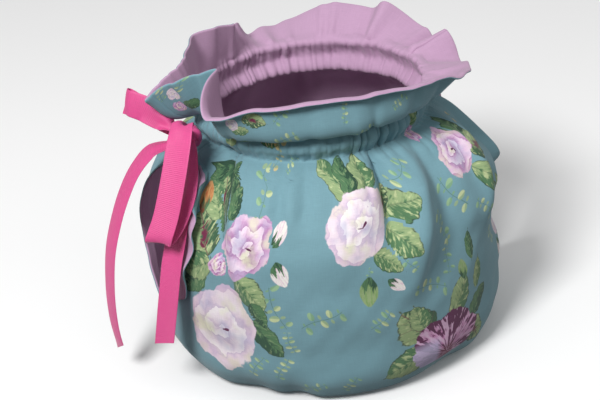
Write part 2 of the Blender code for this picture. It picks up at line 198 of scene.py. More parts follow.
RUFFLE = rows_of(
    Lean,
    (-175, 55, 35, 8, -5, 0.12), (-171, 76, 31, 3, -2, 0.06), (-166, 92, 32, 0, 0),
    (-153, 34, 37, 26, 36.5), (-135, 57, 38, 30, 65), (-112, 64.5, 38.5, 32, 72.5),
    (-90, 59.5, 37.5, 30, 68.5), (-68, 49, 35.5, 26, 53), (-50, 28.5, 31.5, 16, 26.5),
    (-28, 8, 26, 6, 6), (-11, -10, 28, 0, 0), (0, 14, 28, 4, 0), (10, -8, 27, 0, 0),
    (15, 12, 27, 0, 2), (33, 36, 28, 0, 4), (40, 28, 29, 4, 6), (52, 34, 28, 4, 6),
    (78, 5, 28, 4, 0), (88, 2, 26, 0, 0), (99, 60, 20, 0, 0), (105, 80, 19.5, 0, 0),
    (110, 104, 26.5, 0, 0), (122, 98, 28, 0, 0), (134, 82, 28, 0, 0), (146, 86, 28, 0, 0),
    (160, 81, 28, 0, 2), (164, 76, 28, 0, 3), (168, 68, 28, 0, 4), (171.5, 58, 30.5, 4, 0, 0.06),
    (174.5, 49, 34, 10, -5, 0.14), (177, 36, 41, 15, -9, 0.2),
)


def around(rows, column, angle):
    """A table's column at an angle, eased from row to row right round the cosy."""
    angles = np.array([row.angle for row in rows], float)
    values = np.array([getattr(row, column) for row in rows], float)
    turned = (angle - angles[0]) % 360.0 + angles[0]
    low = np.searchsorted(angles, turned, side="right") - 1
    after = (low + 1) % len(rows)
    share = eased((turned - angles[low]) / ((angles[after] - angles[low]) % 360.0))
    return values[low] * (1.0 - share) + values[after] * share


def pleat_relief(angle, share):
    """The ruffle's own pleats, share of the way up. They are deepest just above the neck."""
    relief = np.zeros(np.broadcast(angle, share).shape)
    for pleat in PLEATS:
        off = ((angle - pleat.angle + 180.0) % 360.0 - 180.0) / (pleat.spread * (0.7 + 0.5 * share))
        strength = eased(share / 0.2) * (1.0 - (1.0 - pleat.edge) * eased(share))
        relief += strength * (pleat.valley + 2.3 * pleat.step * off) * np.exp(-(off**2))
    return relief


print(len(RUFFLE), "turns of the ruffle,", len(PLEATS), "pleats")

# %% [markdown]
# The handle and the spout pass through a slit on each side, which is a part of the seam left open. A
# Boolean could cut it, but then it would have raw edges. Here each panel draws back from the seam by some
# degrees instead, and its edge is turned over. A slit has heights for its foot, widest part and top.

# %% The two slits
Slit = namedtuple("Slit", "foot widest top angles turns")  # the last two are for front and back
SPOUT_SLIT = Slit(28, 100, 139, (15, 15), (50, 40))
HANDLE_SLIT = Slit(40, 112, 139, (7.2, 14), (172, 34))
print("slits:", SPOUT_SLIT, HANDLE_SLIT)

# %% [markdown]
# A drawstring bunches the cloth into many small tucks. They aren't evenly spaced: the ribbon slides, so
# the tucks crowd together in some places and lie nearly flat in others. A seeded random generator places
# them, and each one fades out below the channel as the cloth opens over the pot.

# %% Tucks of the drawn-in neck
Pull = namedtuple("Pull", "angle pull")
GATHER_PULL = rows_of(
    Pull,
    (-178, 1.0), (-162, 1.0), (-150, 0.4), (-106, 0.4), (-98, 1.7), (-68, 1.9), (-56, 0.8),
    (-20, 0.8), (20, 0.9), (60, 0.7), (90, 1.0), (130, 0.8), (160, 1.0),
)
TUCK_COUNT = 104
TUCK_DEPTH = 1.9
chance = np.random.default_rng(20)
TUCKS = []
for n in range(TUCK_COUNT):
    angle = (n + chance.uniform(-0.38, 0.38)) * 360.0 / TUCK_COUNT - 180.0
    pull = float(around(GATHER_PULL, "pull", np.array(angle))) * chance.uniform(0.35, 1.1)
    spread, below, above = chance.uniform(0.6, 1.2), 5 + 22 * chance.uniform() ** 2, chance.uniform(4, 9)
    TUCKS.append((angle, pull, spread, below, above))


def tuck_relief(angle, height, past_channel):
    """How far the tucks draw the cloth in, on the wall and past_channel millimetres up the ruffle."""
    relief = np.zeros(np.broadcast(angle, height).shape)
    for middle, pull, spread, below, above in TUCKS:
        off = np.abs((angle - middle + 180.0) % 360.0 - 180.0)
        under = np.clip((CHANNEL_FOOT - height) / below, 0.0, 1.0)
        over = np.clip(past_channel / above, 0.0, 1.0)
        fade = (1.0 - under) ** 2 * (1.0 - over) ** 1.5
        opened = spread * (1.0 + 2.2 * under + 1.2 * over)
        relief -= TUCK_DEPTH * pull * fade * np.exp(-((off / opened) ** 1.4))
    return relief


print(f"{len(TUCKS)} tucks, one about every {2 * math.pi * NECK_RADIUS / TUCK_COUNT:.1f} mm of the neck")

# %% [markdown]
# Worn cotton is never quite smooth between its folds. A noise texture could bump it, but a few long waves
# laid over each other in mixed directions shift the cloth itself, so its outline is uneven as well.

# %% Gentle unevenness
def crumple(x, v, seed, wave, count=9):
    """Gentle unevenness of worn cotton: a few waves laid over each other in mixed directions."""
    made = np.random.default_rng(seed)
    total = np.zeros(np.broadcast(x, v).shape)
    for _ in range(count):
        turn, start = made.uniform(0, math.pi), made.uniform(0, 2 * math.pi)
        size = wave * made.uniform(0.6, 1.6)
        total += np.sin(2 * math.pi * (x * math.cos(turn) + v * math.sin(turn)) / size + start)
    return total / math.sqrt(count)


print("unevenness is drawn from fixed seeds")

# %% [markdown]
# The grid's rows are crowded towards the ruffle's edge and its columns towards the slits, where the cloth
# turns over in a small radius. Each row knows whether it belongs to the hem, the wall or the ruffle.

# %% Rows and columns of the grid
EDGE_STEPS = (0.0, 0.14, 0.42, 0.9, 1.7, 2.8)  # millimetres from a free edge
MEAN_RUFFLE = 29
HEM_ROWS = np.array([0.0, 0.02, 0.06, 0.12, 0.25, 0.45, 0.65, 0.85, 1.0])
WALL_COUNT, RUFFLE_COUNT, MAIN_COLUMNS = 112, 24, 284
arc_heights = np.linspace(HEM_LEVEL, CHANNEL_TOP, 2000)
arc = np.concatenate([[0.0], np.cumsum(np.hypot(np.diff(arc_heights), np.diff(along_wall(arc_heights))))])
WALL_ROWS = np.interp(np.linspace(0, arc[-1], WALL_COUNT + 1)[1:], arc, arc_heights)
RUFFLE_ROWS = np.concatenate([
    np.linspace(0, 1 - EDGE_STEPS[-1] / MEAN_RUFFLE, RUFFLE_COUNT)[1:],
    1 - np.array(EDGE_STEPS[-2::-1]) / MEAN_RUFFLE,
])
ROW_COUNT = len(HEM_ROWS) + len(WALL_ROWS) + len(RUFFLE_ROWS)
IS_HEM = slice(0, len(HEM_ROWS))
IS_WALL = slice(len(HEM_ROWS), len(HEM_ROWS) + len(WALL_ROWS))
IS_RUFFLE = slice(len(HEM_ROWS) + len(WALL_ROWS), ROW_COUNT)
BAND_STEPS = TURNED_BAND - np.array(EDGE_STEPS + (4.0, 5.2, 6.4, 7.6, 8.8))[::-1]
ROW_HEIGHT = np.concatenate([HEM_ROWS * 0 + HEM_LEVEL, WALL_ROWS, RUFFLE_ROWS * 0 + CHANNEL_TOP])[:, None]
print(f"grid: {ROW_COUNT} rows by {MAIN_COLUMNS + 2 * len(BAND_STEPS)} columns a panel")

# %% [markdown]
# One function gives the middle of the cloth for any angles. On the wall it adds up radius, folds, tucks
# and waves. The ruffle is walked in short steps instead: each step goes on in the direction in which the
# cloth leans there, which keeps the ruffle's length and lets it roll over at its edge.

# %% The cloth's middle surface
def ring(angle, radius, height):
    turn = np.radians(angle)
    return np.stack([radius * np.cos(turn), radius * np.sin(turn), height + 0 * turn], axis=-1)


def flat_up(angle):
    """Millimetres up the flat cloth from the hem's outer edge, for each row and column."""
    up = np.zeros(angle.shape)
    up[IS_HEM] = ((HEM_ROWS - 1.0) * (HEM_OUTER - HEM_INNER))[:, None]
    up[IS_WALL] = np.interp(WALL_ROWS, arc_heights, arc)[:, None]
    up[IS_RUFFLE] = arc[-1] + RUFFLE_ROWS[:, None] * around(RUFFLE, "length", angle[IS_RUFFLE])
    return up


def cloth_middle(angle):
    """Points of the cloth's middle for a grid of angles, one row of the grid for each row of the cloth."""
    points = np.zeros(angle.shape + (3,))
    hem = angle[IS_HEM]
    waves = around(HEM_WAVES, "out", hem) * HEM_ROWS[:, None]
    radius = HEM_INNER + (HEM_OUTER - HEM_INNER) * HEM_ROWS[:, None] + waves
    points[IS_HEM] = ring(hem, radius, HEM_LEVEL)

    wall, height = angle[IS_WALL], WALL_ROWS[:, None]
    x, v = np.radians(wall) * BODY_REACH, np.interp(height, arc_heights, arc)
    radius = along_wall(height) + fold_relief(wall, height)
    radius = radius + around(HEM_WAVES, "out", wall) * eased(1.0 - height / 30.0)
    radius = radius + tuck_relief(wall, height, 0.0) * eased((height - 60.0) / 30.0)
    in_channel = eased((height - CHANNEL_FOOT + 2.5) / 3.0) * eased((CHANNEL_TOP - height + 1.0) / 3.0)
    for stitched in (CHANNEL_FOOT, CHANNEL_TOP):
        radius = radius - 1.0 * np.exp(-(((height - stitched) / 1.4) ** 2))
    radius = radius + in_channel * (0.35 * crumple(x, v, 3, 9.0) - CHANNEL_HOLLOW)
    for seed, depth, wave in ((5, 0.42, 46.0), (6, 0.16, 17.0)):
        radius = radius + depth * eased((height - 8.0) / 20.0) * crumple(x, v, seed, wave)
    points[IS_WALL] = ring(wall, radius, height)

    edge = angle[IS_RUFFLE]
    lean, length, puff, lip, bend = (around(RUFFLE, name, edge[0]) for name in Lean._fields[1:])
    lean = lean + 0.7 * np.sin(np.radians(edge[0] * 7 + 40)) + 0.3 * np.sin(np.radians(edge[0] * 16))
    out = along_wall(CHANNEL_TOP) - 1.0 + 0.0 * edge[0]
    up = CHANNEL_TOP + 0.0 * edge[0]
    walked, steps = 0.0, 6
    for row, share in enumerate(RUFFLE_ROWS):
        for step in range(steps):
            at = walked + (share - walked) * (step + 0.5) / steps
            rise = at - bend
            slope = lean - 2.4 * puff * (1.0 - eased((rise - 0.08) / 0.32))
            slope = slope + puff * eased((rise - 0.3) / 0.25)
            slope = np.radians(slope - (lip + puff) * eased((at - 0.78) / 0.2))
            stride = length * (share - walked) / steps
            out, up = out + stride * np.cos(slope), up + stride * np.sin(slope)
        walked = share
        relief = tuck_relief(edge[row], CHANNEL_TOP, share * length) + pleat_relief(edge[row], share)
        tilt = (0.5 * math.pi - slope) * eased(share * length / 6.0)
        points[IS_RUFFLE][row] = ring(edge[row], out + relief * np.cos(tilt), up - relief * np.sin(tilt))
    return points


print("the ruffle leans from", min(r.lean for r in RUFFLE), "to", max(r.lean for r in RUFFLE), "degrees")

# %% [markdown]
# Along a slit the cloth isn't cut off: it is turned back and pressed, so a rounded fold shows and a band
# of the cloth lies behind it. A Bevel would round the edge and leave no band. So the band is laid out flat
# first, up to its fold line, and what is past the line is bent round a small radius.

# %% Turned edges of the slits
def slit_opening(slit):
    """How far a slit is open in each row, from 0 at its ends to 1 where it is widest."""
    height = ROW_HEIGHT[:, 0]
    rising = eased((height - slit.foot) / (slit.widest - slit.foot))
    falling = 1.0 - ((height - slit.widest) / (slit.top - slit.widest)) ** 2
    share = np.where(height < slit.widest, rising, falling)
    return np.where((height > slit.foot) & (height < slit.top), share, 0.0)[:, None]


def turned_edge(side, edge, to_slit, turn, reach, width):
    """The band beside a slit: flat up to its fold line, then turned back over a small radius."""
    into = BAND_STEPS[None, :] * width / TURNED_BAND
    angle = edge - to_slit * np.degrees((width - into) / reach)
    point = cloth_middle(side * angle)
    along = cloth_middle(side * (angle + to_slit * 0.2)) - cloth_middle(side * (angle - to_slit * 0.2))
    along /= np.linalg.norm(along, axis=-1, keepdims=True)
    outward = np.stack([along[..., 1], -along[..., 0], 0 * angle], axis=-1) * (side * to_slit)
    bent = np.minimum(into / TURN_RADIUS, np.radians(turn))
    straight = into - bent * TURN_RADIUS
    reached = TURN_RADIUS * np.sin(bent) + straight * np.cos(bent)
    risen = TURN_RADIUS * (1.0 - np.cos(bent)) + straight * np.sin(bent)
    return point + along * (reached - into)[..., None] + outward * risen[..., None]


print("a turned edge bends over a radius of", TURN_RADIUS, "mm")

# %% [markdown]
# A panel is the wide middle part with a band at each end. The same function makes the front, at the
# negative side, and the back. It also notes where each point lies on the flat cloth, for the print.

# %% The two panels' middle surfaces
FRONT, BACK = -1, 1


def panel_middle(side):
    """The whole grid of one panel's middle surface, with its flat coordinates."""
    which = 0 if side == FRONT else 1
    spout_open, handle_open = slit_opening(SPOUT_SLIT), slit_opening(HANDLE_SLIT)
    first = SPOUT_SLIT.angles[which] * spout_open
    last = 180.0 - HANDLE_SLIT.angles[which] * handle_open
    spout_turn = SPOUT_SLIT.turns[which] * spout_open
    handle_band = TURNED_BAND + 0 * handle_open
    if side == FRONT:
        handle_band = SEAM_BAND + (WIDE_BAND - SEAM_BAND) * eased(handle_open * 3.0)
    handle_turn = HANDLE_SLIT.turns[which] * eased(handle_open * 14.0)
    straight_out = cloth_middle(np.full((ROW_COUNT, 1), side * 90.0))
    reach = np.hypot(straight_out[..., 0], straight_out[..., 1])
    share = np.linspace(0.0, 1.0, MAIN_COLUMNS)[None, :]
    angle = first + np.degrees(TURNED_BAND / reach)
    angle = angle + (last - np.degrees(handle_band / reach) - angle) * share
    middle = cloth_middle(side * angle)
    spout = turned_edge(side, first, -1, spout_turn, reach, TURNED_BAND)[:, ::-1]
    handle = turned_edge(side, last, 1, handle_turn, reach, handle_band)
    points = np.concatenate([spout, middle, handle], axis=1)
    main_across = TURNED_BAND + share * (PANEL_WIDTH - TURNED_BAND - handle_band)
    handle_across = PANEL_WIDTH - handle_band * (1.0 - BAND_STEPS / TURNED_BAND)
    spout_across = TURNED_BAND - BAND_STEPS[::-1] + 0 * handle_band
    across = np.concatenate([spout_across, main_across, handle_across], axis=1)
    points[..., 1] += side * PANEL_GAP / 2
    flat_x = side * across
    flat_v = flat_up(np.degrees(flat_x / BODY_REACH))
    return points, flat_x, flat_v


fronts = panel_middle(FRONT)
backs = panel_middle(BACK)
highest = float(fronts[0][..., 2].max())
print(f"front panel's middle surface: {fronts[0].shape} points, highest {highest:.1f} mm")

# %% [markdown]
# A sheet of cotton has two faces and rounded edges. Solidify could add the thickness, but two sheets that
# lie on each other must not cut into each other at the seams, so both faces are set off from the same
# middle surface here. Near a free edge the offset runs out in a quarter circle, and so the print and the
# lining close up like a seam that was turned through and pressed.

# %% Faces and rounded edges
EDGE_ROUND = 0.9  # how far in from its edge a sheet is rounded


def surface_normals(points, side):
    along_row = np.gradient(points, axis=1)
    up_column = np.gradient(points, axis=0)
    normal = np.cross(along_row, up_column) * side
    closed = np.abs(np.abs(points[..., 1]) - PANEL_GAP / 2) < 1e-6
    closed[:, 1:-1] = False
    normal[closed, 1] = 0.0
    return normal / np.linalg.norm(normal, axis=-1, keepdims=True)


def rounded(distance, radius):
    """How full the cloth is at a distance from its edge: a quarter circle from 0 up to 1."""
    return np.sqrt(np.clip(1.0 - (1.0 - np.clip(distance / radius, 0.0, 1.0)) ** 2, 0.0, 1.0))


def fullness(points):
    """Runs from 0 at the panel's four edges to 1 within a millimetre of them."""
    column_edge = np.array(EDGE_STEPS[:-1])
    full = np.ones(points.shape[:2])
    for n, distance in enumerate(column_edge):
        share = rounded(distance, EDGE_ROUND)
        full[:, n] = np.minimum(full[:, n], share)
        full[:, -1 - n] = np.minimum(full[:, -1 - n], share)
        full[-1 - n] = np.minimum(full[-1 - n], share)
    hem_width = HEM_OUTER - HEM_INNER
    full[:3] = np.minimum(full[:3], rounded(HEM_ROWS[:3, None] * hem_width, EDGE_ROUND))
    return full


print("a layer of cotton is", round(CLOTH_FAR - CLOTH_NEAR, 2), "mm thick")

# %% [markdown]
# The mesh of a sheet is two grids of points and a rim between them. Its UV map lies flat as the cloth did:
# the face that shows fills most of the map, the hidden one a strip below, and the rim a line between. Smart
# UV Project would be quicker, but it would cut the cloth into islands that no longer follow its threads.

# %% A closed sheet of cloth
SHOWN_FOOT, SHOWN_SPAN, HIDDEN_FOOT, HIDDEN_SPAN = 0.13, 0.865, 0.005, 0.09
RIM_LINES = (0.118, 0.104)  # for the rim's corners on the face and on the back


def in_scene(name, data):
    """A new object in the scene from a mesh, a lamp's data or a camera's."""
    made = bpy.data.objects.new(name, data)
    bpy.context.scene.collection.objects.link(made)
    return made


def from_axis(points):
    """Points in millimetres round the pot's axis, as places in the scene."""
    return ((points + np.array(AXIS)) * MM).tolist()


def cloth_object(name, points, quads):
    """A smooth object of four-sided faces."""
    mesh = bpy.data.meshes.new(name)
    mesh.from_pydata(from_axis(points), [], quads.tolist())
    mesh.polygons.foreach_set("use_smooth", np.ones(len(quads), bool))
    return in_scene(name, mesh)


def lay_flat(mesh, rows, columns, shown_is_face):
    """The shown face fills most of the map, the hidden one a strip below it, and the rim a line between."""
    count = rows * columns
    loops = np.empty(len(mesh.loops), np.int64)
    mesh.loops.foreach_get("vertex_index", loops)
    on_back = loops >= count
    cell = loops % count
    u = (cell % columns) / (columns - 1)
    v = (cell // columns) / (rows - 1)
    face_index = np.repeat(np.arange(len(mesh.polygons)), 4)
    face_count = (rows - 1) * (columns - 1)
    part = np.minimum(face_index // face_count, 2)
    shown = 0 if shown_is_face else 1
    up = np.where(part == shown, SHOWN_FOOT + SHOWN_SPAN * v, HIDDEN_FOOT + HIDDEN_SPAN * v)
    up = np.where(part == 2, np.where(on_back, RIM_LINES[1], RIM_LINES[0]), up)
    corner_ahead = np.arange(len(loops)) % 4 % 3 != 0
    rim_share = (face_index - 2 * face_count + corner_ahead) / (2.0 * (rows + columns))
    along = np.where(part == 2, np.clip(rim_share, 0.0, 1.0), 0.003 + 0.994 * u)
    coordinates = np.stack([along, up], axis=-1)
    mesh.uv_layers.new(name="OFBake").data.foreach_set("uv", coordinates.astype(np.float32).ravel())


def grid_sheet(name, face, back, shown_is_face, flip):
    """A closed sheet between two grids of points in millimetres, with a UV map that lies flat."""
    rows, columns = face.shape[:2]
    count = rows * columns
    index = np.arange(count).reshape(rows, columns)
    a, b, c, d = index[:-1, :-1], index[:-1, 1:], index[1:, 1:], index[1:, :-1]
    front_quads = np.stack([a, b, c, d], axis=-1).reshape(-1, 4)
    quads = [front_quads, front_quads[:, ::-1] + count]
    rim = np.concatenate([index[0, :], index[1:, -1], index[-1, -2::-1], index[-2:0:-1, 0]])
    rim_next = np.roll(rim, -1)
    quads.append(np.stack([rim_next, rim, rim + count, rim_next + count], axis=-1))
    quads = np.concatenate(quads)
    if flip:
        quads = quads[:, ::-1]
    made = cloth_object(name, np.concatenate([face.reshape(-1, 3), back.reshape(-1, 3)]), quads)
    lay_flat(made.data, rows, columns, shown_is_face)
    return made


print("the shown face takes", SHOWN_SPAN, "of the map's height")

# %% [markdown]
# Each point keeps its place on the flat cloth as an attribute. Then both panels are made: a printed sheet
# on the outer side of the middle surface and a lining on the inner side.

# %% Both layers of both panels
def remember_flat(piece, flat_x, flat_v):
    """Stores where each point of both faces lies on the flat cloth, in millimetres."""
    flat = np.stack([flat_x, flat_v, np.zeros(flat_x.shape)], axis=-1).reshape(-1, 3)
    flat = np.concatenate([flat, flat]).astype(np.float32)
    piece.data.attributes.new("flat_mm", "FLOAT_VECTOR", "POINT").data.foreach_set("vector", flat.ravel())


def two_layers(label, side, grid):
    """The printed sheet and its lining, on the two sides of one middle surface."""
    points, flat_x, flat_v = grid
    normal = surface_normals(points, side)
    near = normal * CLOTH_NEAR
    far = normal * (CLOTH_NEAR + (CLOTH_FAR - CLOTH_NEAR) * fullness(points))[..., None]
    flip = side == FRONT
    print_cloth = grid_sheet(f"{label}_print", points + far, points + near, True, flip)
    lining = grid_sheet(f"{label}_lining_cloth", points - near, points - far, False, flip)
    for piece in (print_cloth, lining):
        remember_flat(piece, flat_x, flat_v)
    print(label, "panel:", len(print_cloth.data.polygons), "faces a layer")
    return print_cloth, lining


front_print, front_lining = two_layers("front", FRONT, fronts)
back_print, back_lining = two_layers("back", BACK, backs)

# %% [markdown]
# The cotton is printed with roses, loose leaves and small sprigs. A screen print is laid down colour by
# colour on flat cloth, so the motifs are placed in the flat coordinates of the panel: millimetres across,
# counted from the spout, and millimetres up from the hem. Cloth that is sewn, folded and gathered afterwards
# carries its print along, which is why a painted flower disappears into a fold here as well.

# %% Where the motifs lie on the flat cloth
PALE_ROSE, LILAC_ROSE, STREAKED, SIDE_PETAL, WHITE_BUD, GREEN_BUD, ORANGE_BUD = range(7)
LIGHT_LEAF, DARK_LEAF, RED_VEINED, ORANGE_LEAF = range(4)
Bloom = namedtuple("Bloom", "across up half_width half_height turn kind")
Leaf = namedtuple("Leaf", "base_across base_up tip_across tip_up width kind", defaults=(LIGHT_LEAF,))
FRONT_BLOOMS = rows_of(
    Bloom,
    (-192, 122, 22.5, 23.5, 0, PALE_ROSE), (-267.2, 113, 19.5, 20, 16, LILAC_ROSE),
    (-282.6, 57, 27, 30.5, -8, PALE_ROSE), (-141.5, 37, 19.5, 18.5, 2, STREAKED),
    (-94.8, 140, 17, 17, 30, LILAC_ROSE), (-295, 190, 10, 9, 0, LILAC_ROSE),
    (-114.5, 162, 5.5, 8, 0, SIDE_PETAL), (-246, 120, 5.4, 9, -22, WHITE_BUD),
    (-241.9, 98, 5.6, 8.6, -150, WHITE_BUD), (-187, 82.5, 6.2, 9.5, 172, GREEN_BUD),
    (-169.7, 84, 4, 6, -130, WHITE_BUD), (-313.6, 132, 3.6, 9, 12, ORANGE_BUD),
    (-119.4, 74, 4, 6.5, -15, GREEN_BUD), (-327.6, 212, 3.0, 5.2, 20, PALE_ROSE),
    (-329.4, 203.5, 2.6, 5.0, 10, SIDE_PETAL), (-271, 211, 4.2, 5.0, 30, PALE_ROSE),
    (-284.5, 98.5, 8.5, 7, 20, SIDE_PETAL),
)
LOW_LEAVES = rows_of(
    Leaf,
    (-199.2, 138, -210.8, 162, 15), (-187.6, 140, -178.4, 161, 17), (-169.4, 121, -149.4, 130, 17),
    (-170, 115, -152.2, 101, 16), (-180.6, 105, -165, 93, 11),
    (-294.3, 104, -313.2, 123, 17, RED_VEINED), (-296.5, 92, -311.4, 76, 15, DARK_LEAF),
    (-290.9, 116, -307.8, 138, 13, DARK_LEAF), (-268, 94, -252.3, 76, 15),
    (-259, 66, -244.4, 44, 13, DARK_LEAF), (-155.9, 40, -169.3, 62, 25, RED_VEINED),
    (-158.1, 33, -183.2, 21, 18), (-135.5, 47, -119.5, 70, 14),
    (-124, 36, -108.2, 17, 15, RED_VEINED), (-83.7, 138, -73.9, 159, 15, DARK_LEAF),
    (-83, 126, -59, 104, 13), (-281, 185, -263, 194, 12, DARK_LEAF), (-115.3, 168, -103, 184, 8),
    (-325.4, 204, -320.4, 197, 5.4, DARK_LEAF), (-263, 212, -247.5, 208, 8.5, RED_VEINED),
    (-272, 206, -261, 204, 6), (-90, 152, -77.5, 140, 12, DARK_LEAF),
    (-289.4, 121, -313.5, 151, 21, DARK_LEAF), (-280.6, 128, -292.6, 156, 12, DARK_LEAF),
)
HIGH_LEAVES = rows_of(
    Leaf,
    (-197.9, 141, -193.6, 163, 12, DARK_LEAF), (-173.3, 122, -164.9, 135, 11, RED_VEINED),
    (-292.4, 98, -312.8, 90, 17), (-311.8, 138, -312.8, 149, 8, DARK_LEAF),
    (-283.3, 127, -279.7, 145, 10, DARK_LEAF), (-284.6, 147, -281.7, 159, 8, DARK_LEAF),
    (-294.8, 124, -307.3, 142, 10, RED_VEINED), (-258.9, 79, -251.3, 64, 8, DARK_LEAF),
    (-157.4, 48, -161.3, 64, 14), (-120, 40, -102.4, 53, 11, DARK_LEAF),
    (-111.2, 56, -103.6, 74, 7), (-109.4, 78, -105.2, 94, 6, DARK_LEAF),
    (-81.8, 139, -61.6, 134, 15, RED_VEINED), (-70.8, 112, -57.1, 96, 10, DARK_LEAF),
    (-265, 184, -247, 176, 10, ORANGE_LEAF), (-300.2, 121, -313.2, 141, 11),
    (-286, 180, -300, 172, 9),
)
FRONT_SPRIGS = rows_of(
    Leaf,
    (-263.5, 126, -253.4, 162, 14), (-251.2, 158, -240, 179, 10, ORANGE_LEAF),
    (-238.9, 156, -230.8, 166, 8), (-239.5, 62, -249.5, 90, 15), (-236.2, 46, -239.5, 62, 10),
    (-266.2, 27, -256.6, 42, 10), (-250.2, 26, -241.6, 42, 10), (-229.6, 63, -205.1, 74, 15),
    (-237.4, 16, -221.2, 23, 10), (-189.4, 57, -175.9, 67, 12), (-211.4, 15, -202.1, 26, 10),
    (-161.4, 138, -146.4, 152, 13), (-117.8, 129, -100.2, 108, 17), (-131.8, 117, -122.8, 92, 13),
    (-125.8, 92, -131.1, 76, 11), (-90.4, 110, -78.7, 95, 11), (-159.6, 79, -135.3, 70, 13),
    (-246, 191, -226, 201, 12), (-181, 192, -167, 198, 8), (-332.4, 214, -330.6, 223.5, 4.8),
    (-326.2, 208, -321.6, 217.5, 5.2), (-241, 207, -229, 220, 10), (-190.5, 202, -189, 215, 6),
    (-153, 205, -141, 211, 8), (-166, 104, -156, 91, 9), (-184, 98, -186.4, 88, 5),
    (-20, 140, -33.6, 122, 12, ORANGE_LEAF), (-60, 176, -40, 190, 12), (-50, 24, -30, 32, 12),
)
print(len(FRONT_BLOOMS), "blooms and buds on the front panel")

# %% [markdown]
# A printed design repeats its bunches, turned and mirrored, over the cloth. Motifs strewn by chance would
# overlap and leave gaps. So one bunch is described once, round its rose, and set down again and again over
# the back, and once beside the spout, each time with its own size and turn.

# %% Bunches at the back and beside the spout
def grow(blooms, leaves_low, leaves_high, sprigs):
    """The four printed layers of one panel, from the lowest to the highest."""
    return (("sprigs", sprigs), ("low_leaves", leaves_low), ("high_leaves", leaves_high), ("blooms", blooms))


def bunch(across, up, half_width, kind, turn, mirrored):
    """A rose with its leaves, a bud and sprigs round it, in the four layers."""
    turned = math.radians(turn)
    flip = -1.0 if mirrored else 1.0

    def spot(right, above):
        right *= flip * half_width
        above *= half_width
        return (
            across + right * math.cos(turned) - above * math.sin(turned),
            up + right * math.sin(turned) + above * math.cos(turned),
        )

    def leaf(base, tip, width, leaf_kind):
        return Leaf(*spot(*base), *spot(*tip), width * half_width, leaf_kind)

    blooms = [Bloom(across, up, half_width, half_width * 1.05, turn, kind)]
    bud_size = (0.24 * half_width, 0.4 * half_width)
    blooms.append(Bloom(*spot(-1.35, -0.5), *bud_size, turn + 110 * flip, WHITE_BUD))
    low = [
        leaf((-0.2, 0.8), (-0.55, 1.75), 0.62, LIGHT_LEAF),
        leaf((0.3, 0.8), (0.8, 1.6), 0.7, LIGHT_LEAF),
        leaf((0.75, -0.2), (1.8, -0.75), 0.7, RED_VEINED),
        leaf((-0.5, -0.8), (-1.1, -1.5), 0.6, LIGHT_LEAF),
    ]
    high = [
        leaf((0.1, 0.9), (0.2, 1.8), 0.5, DARK_LEAF),
        leaf((0.8, 0.1), (1.7, 0.35), 0.62, LIGHT_LEAF),
        leaf((0.2, -0.9), (0.4, -1.6), 0.36, DARK_LEAF),
    ]
    sprigs = [
        leaf((0.6, -1.3), (1.2, -2.2), 0.55, LIGHT_LEAF),
        leaf((-1.6, 0.3), (-1.9, 1.5), 0.6, LIGHT_LEAF),
    ]
    return blooms, low, high, sprigs


Bunch = namedtuple("Bunch", "across up half_width kind turn mirrored")
BACK_BUNCHES = rows_of(
    Bunch,
    (52, 118, 22, PALE_ROSE, 0, False), (108, 52, 26, LILAC_ROSE, 24, True),
    (168, 132, 19, LILAC_ROSE, -16, False), (206, 44, 22, STREAKED, 10, False),
    (262, 112, 24, PALE_ROSE, -30, True), (306, 36, 19, PALE_ROSE, 40, False),
    (118, 194, 12, LILAC_ROSE, 70, False), (236, 190, 12, PALE_ROSE, -60, True),
)
back_layers = [sum(parts, []) for parts in zip(*(bunch(*row) for row in BACK_BUNCHES))]
back_layers[1] += [Leaf(-12, 124, 1, 107, 13, RED_VEINED), Leaf(5, 119, 20, 106, 13, DARK_LEAF)]
back_layers[2] += [Leaf(-3, 124, 10, 139, 12, DARK_LEAF), Leaf(-9, 108, -2, 96, 8, LIGHT_LEAF)]
back_layers[3] += rows_of(
    Leaf,
    (14, 60, 24, 84, 13), (22, 168, 36, 186, 11, ORANGE_LEAF), (150, 84, 164, 98, 13),
    (212, 84, 222, 104, 13), (20, 18, 42, 26, 12), (306, 84, 318, 66, 12), (300, 172, 316, 182, 11),
    (70, 172, 86, 182, 10),
)
beside_spout = bunch(-43, 74, 17, PALE_ROSE, 24, False)
front_rows = (FRONT_BLOOMS, LOW_LEAVES, HIGH_LEAVES, FRONT_SPRIGS)
FRONT_LAYERS = grow(*(list(rows) + more for rows, more in zip(front_rows, beside_spout)))
BACK_LAYERS = grow(*back_layers)
for panel, layers in (("front", FRONT_LAYERS), ("back", BACK_LAYERS)):
    print(panel, {name: len(rows) for name, rows in layers})

# %% [markdown]
# A point of the cloth only needs to know which motif of a layer it lies in, and where in that motif it is.
# Each layer stores that as four numbers on the points: across and up in the motif's own size, its kind, and
# a gate that is shut where the motif ends. The shader then draws the shapes between the points, so their
# edges are sharp although the grid is over a millimetre wide.

# %% Motif coordinates on the points
REACH_OF_MOTIF = 1.45


def frame_of(motif):
    """Centre, the two half sizes and the turn of a bloom or a leaf. A leaf's own x runs from base to tip."""
    if isinstance(motif, Bloom):
        return motif.across, motif.up, motif.half_width, motif.half_height, math.radians(motif.turn)
    run, rise = motif.tip_across - motif.base_across, motif.tip_up - motif.base_up
    across, up = motif.base_across + run / 2, motif.base_up + rise / 2
    return across, up, math.hypot(run, rise) / 2, motif.width / 2, math.atan2(rise, run)


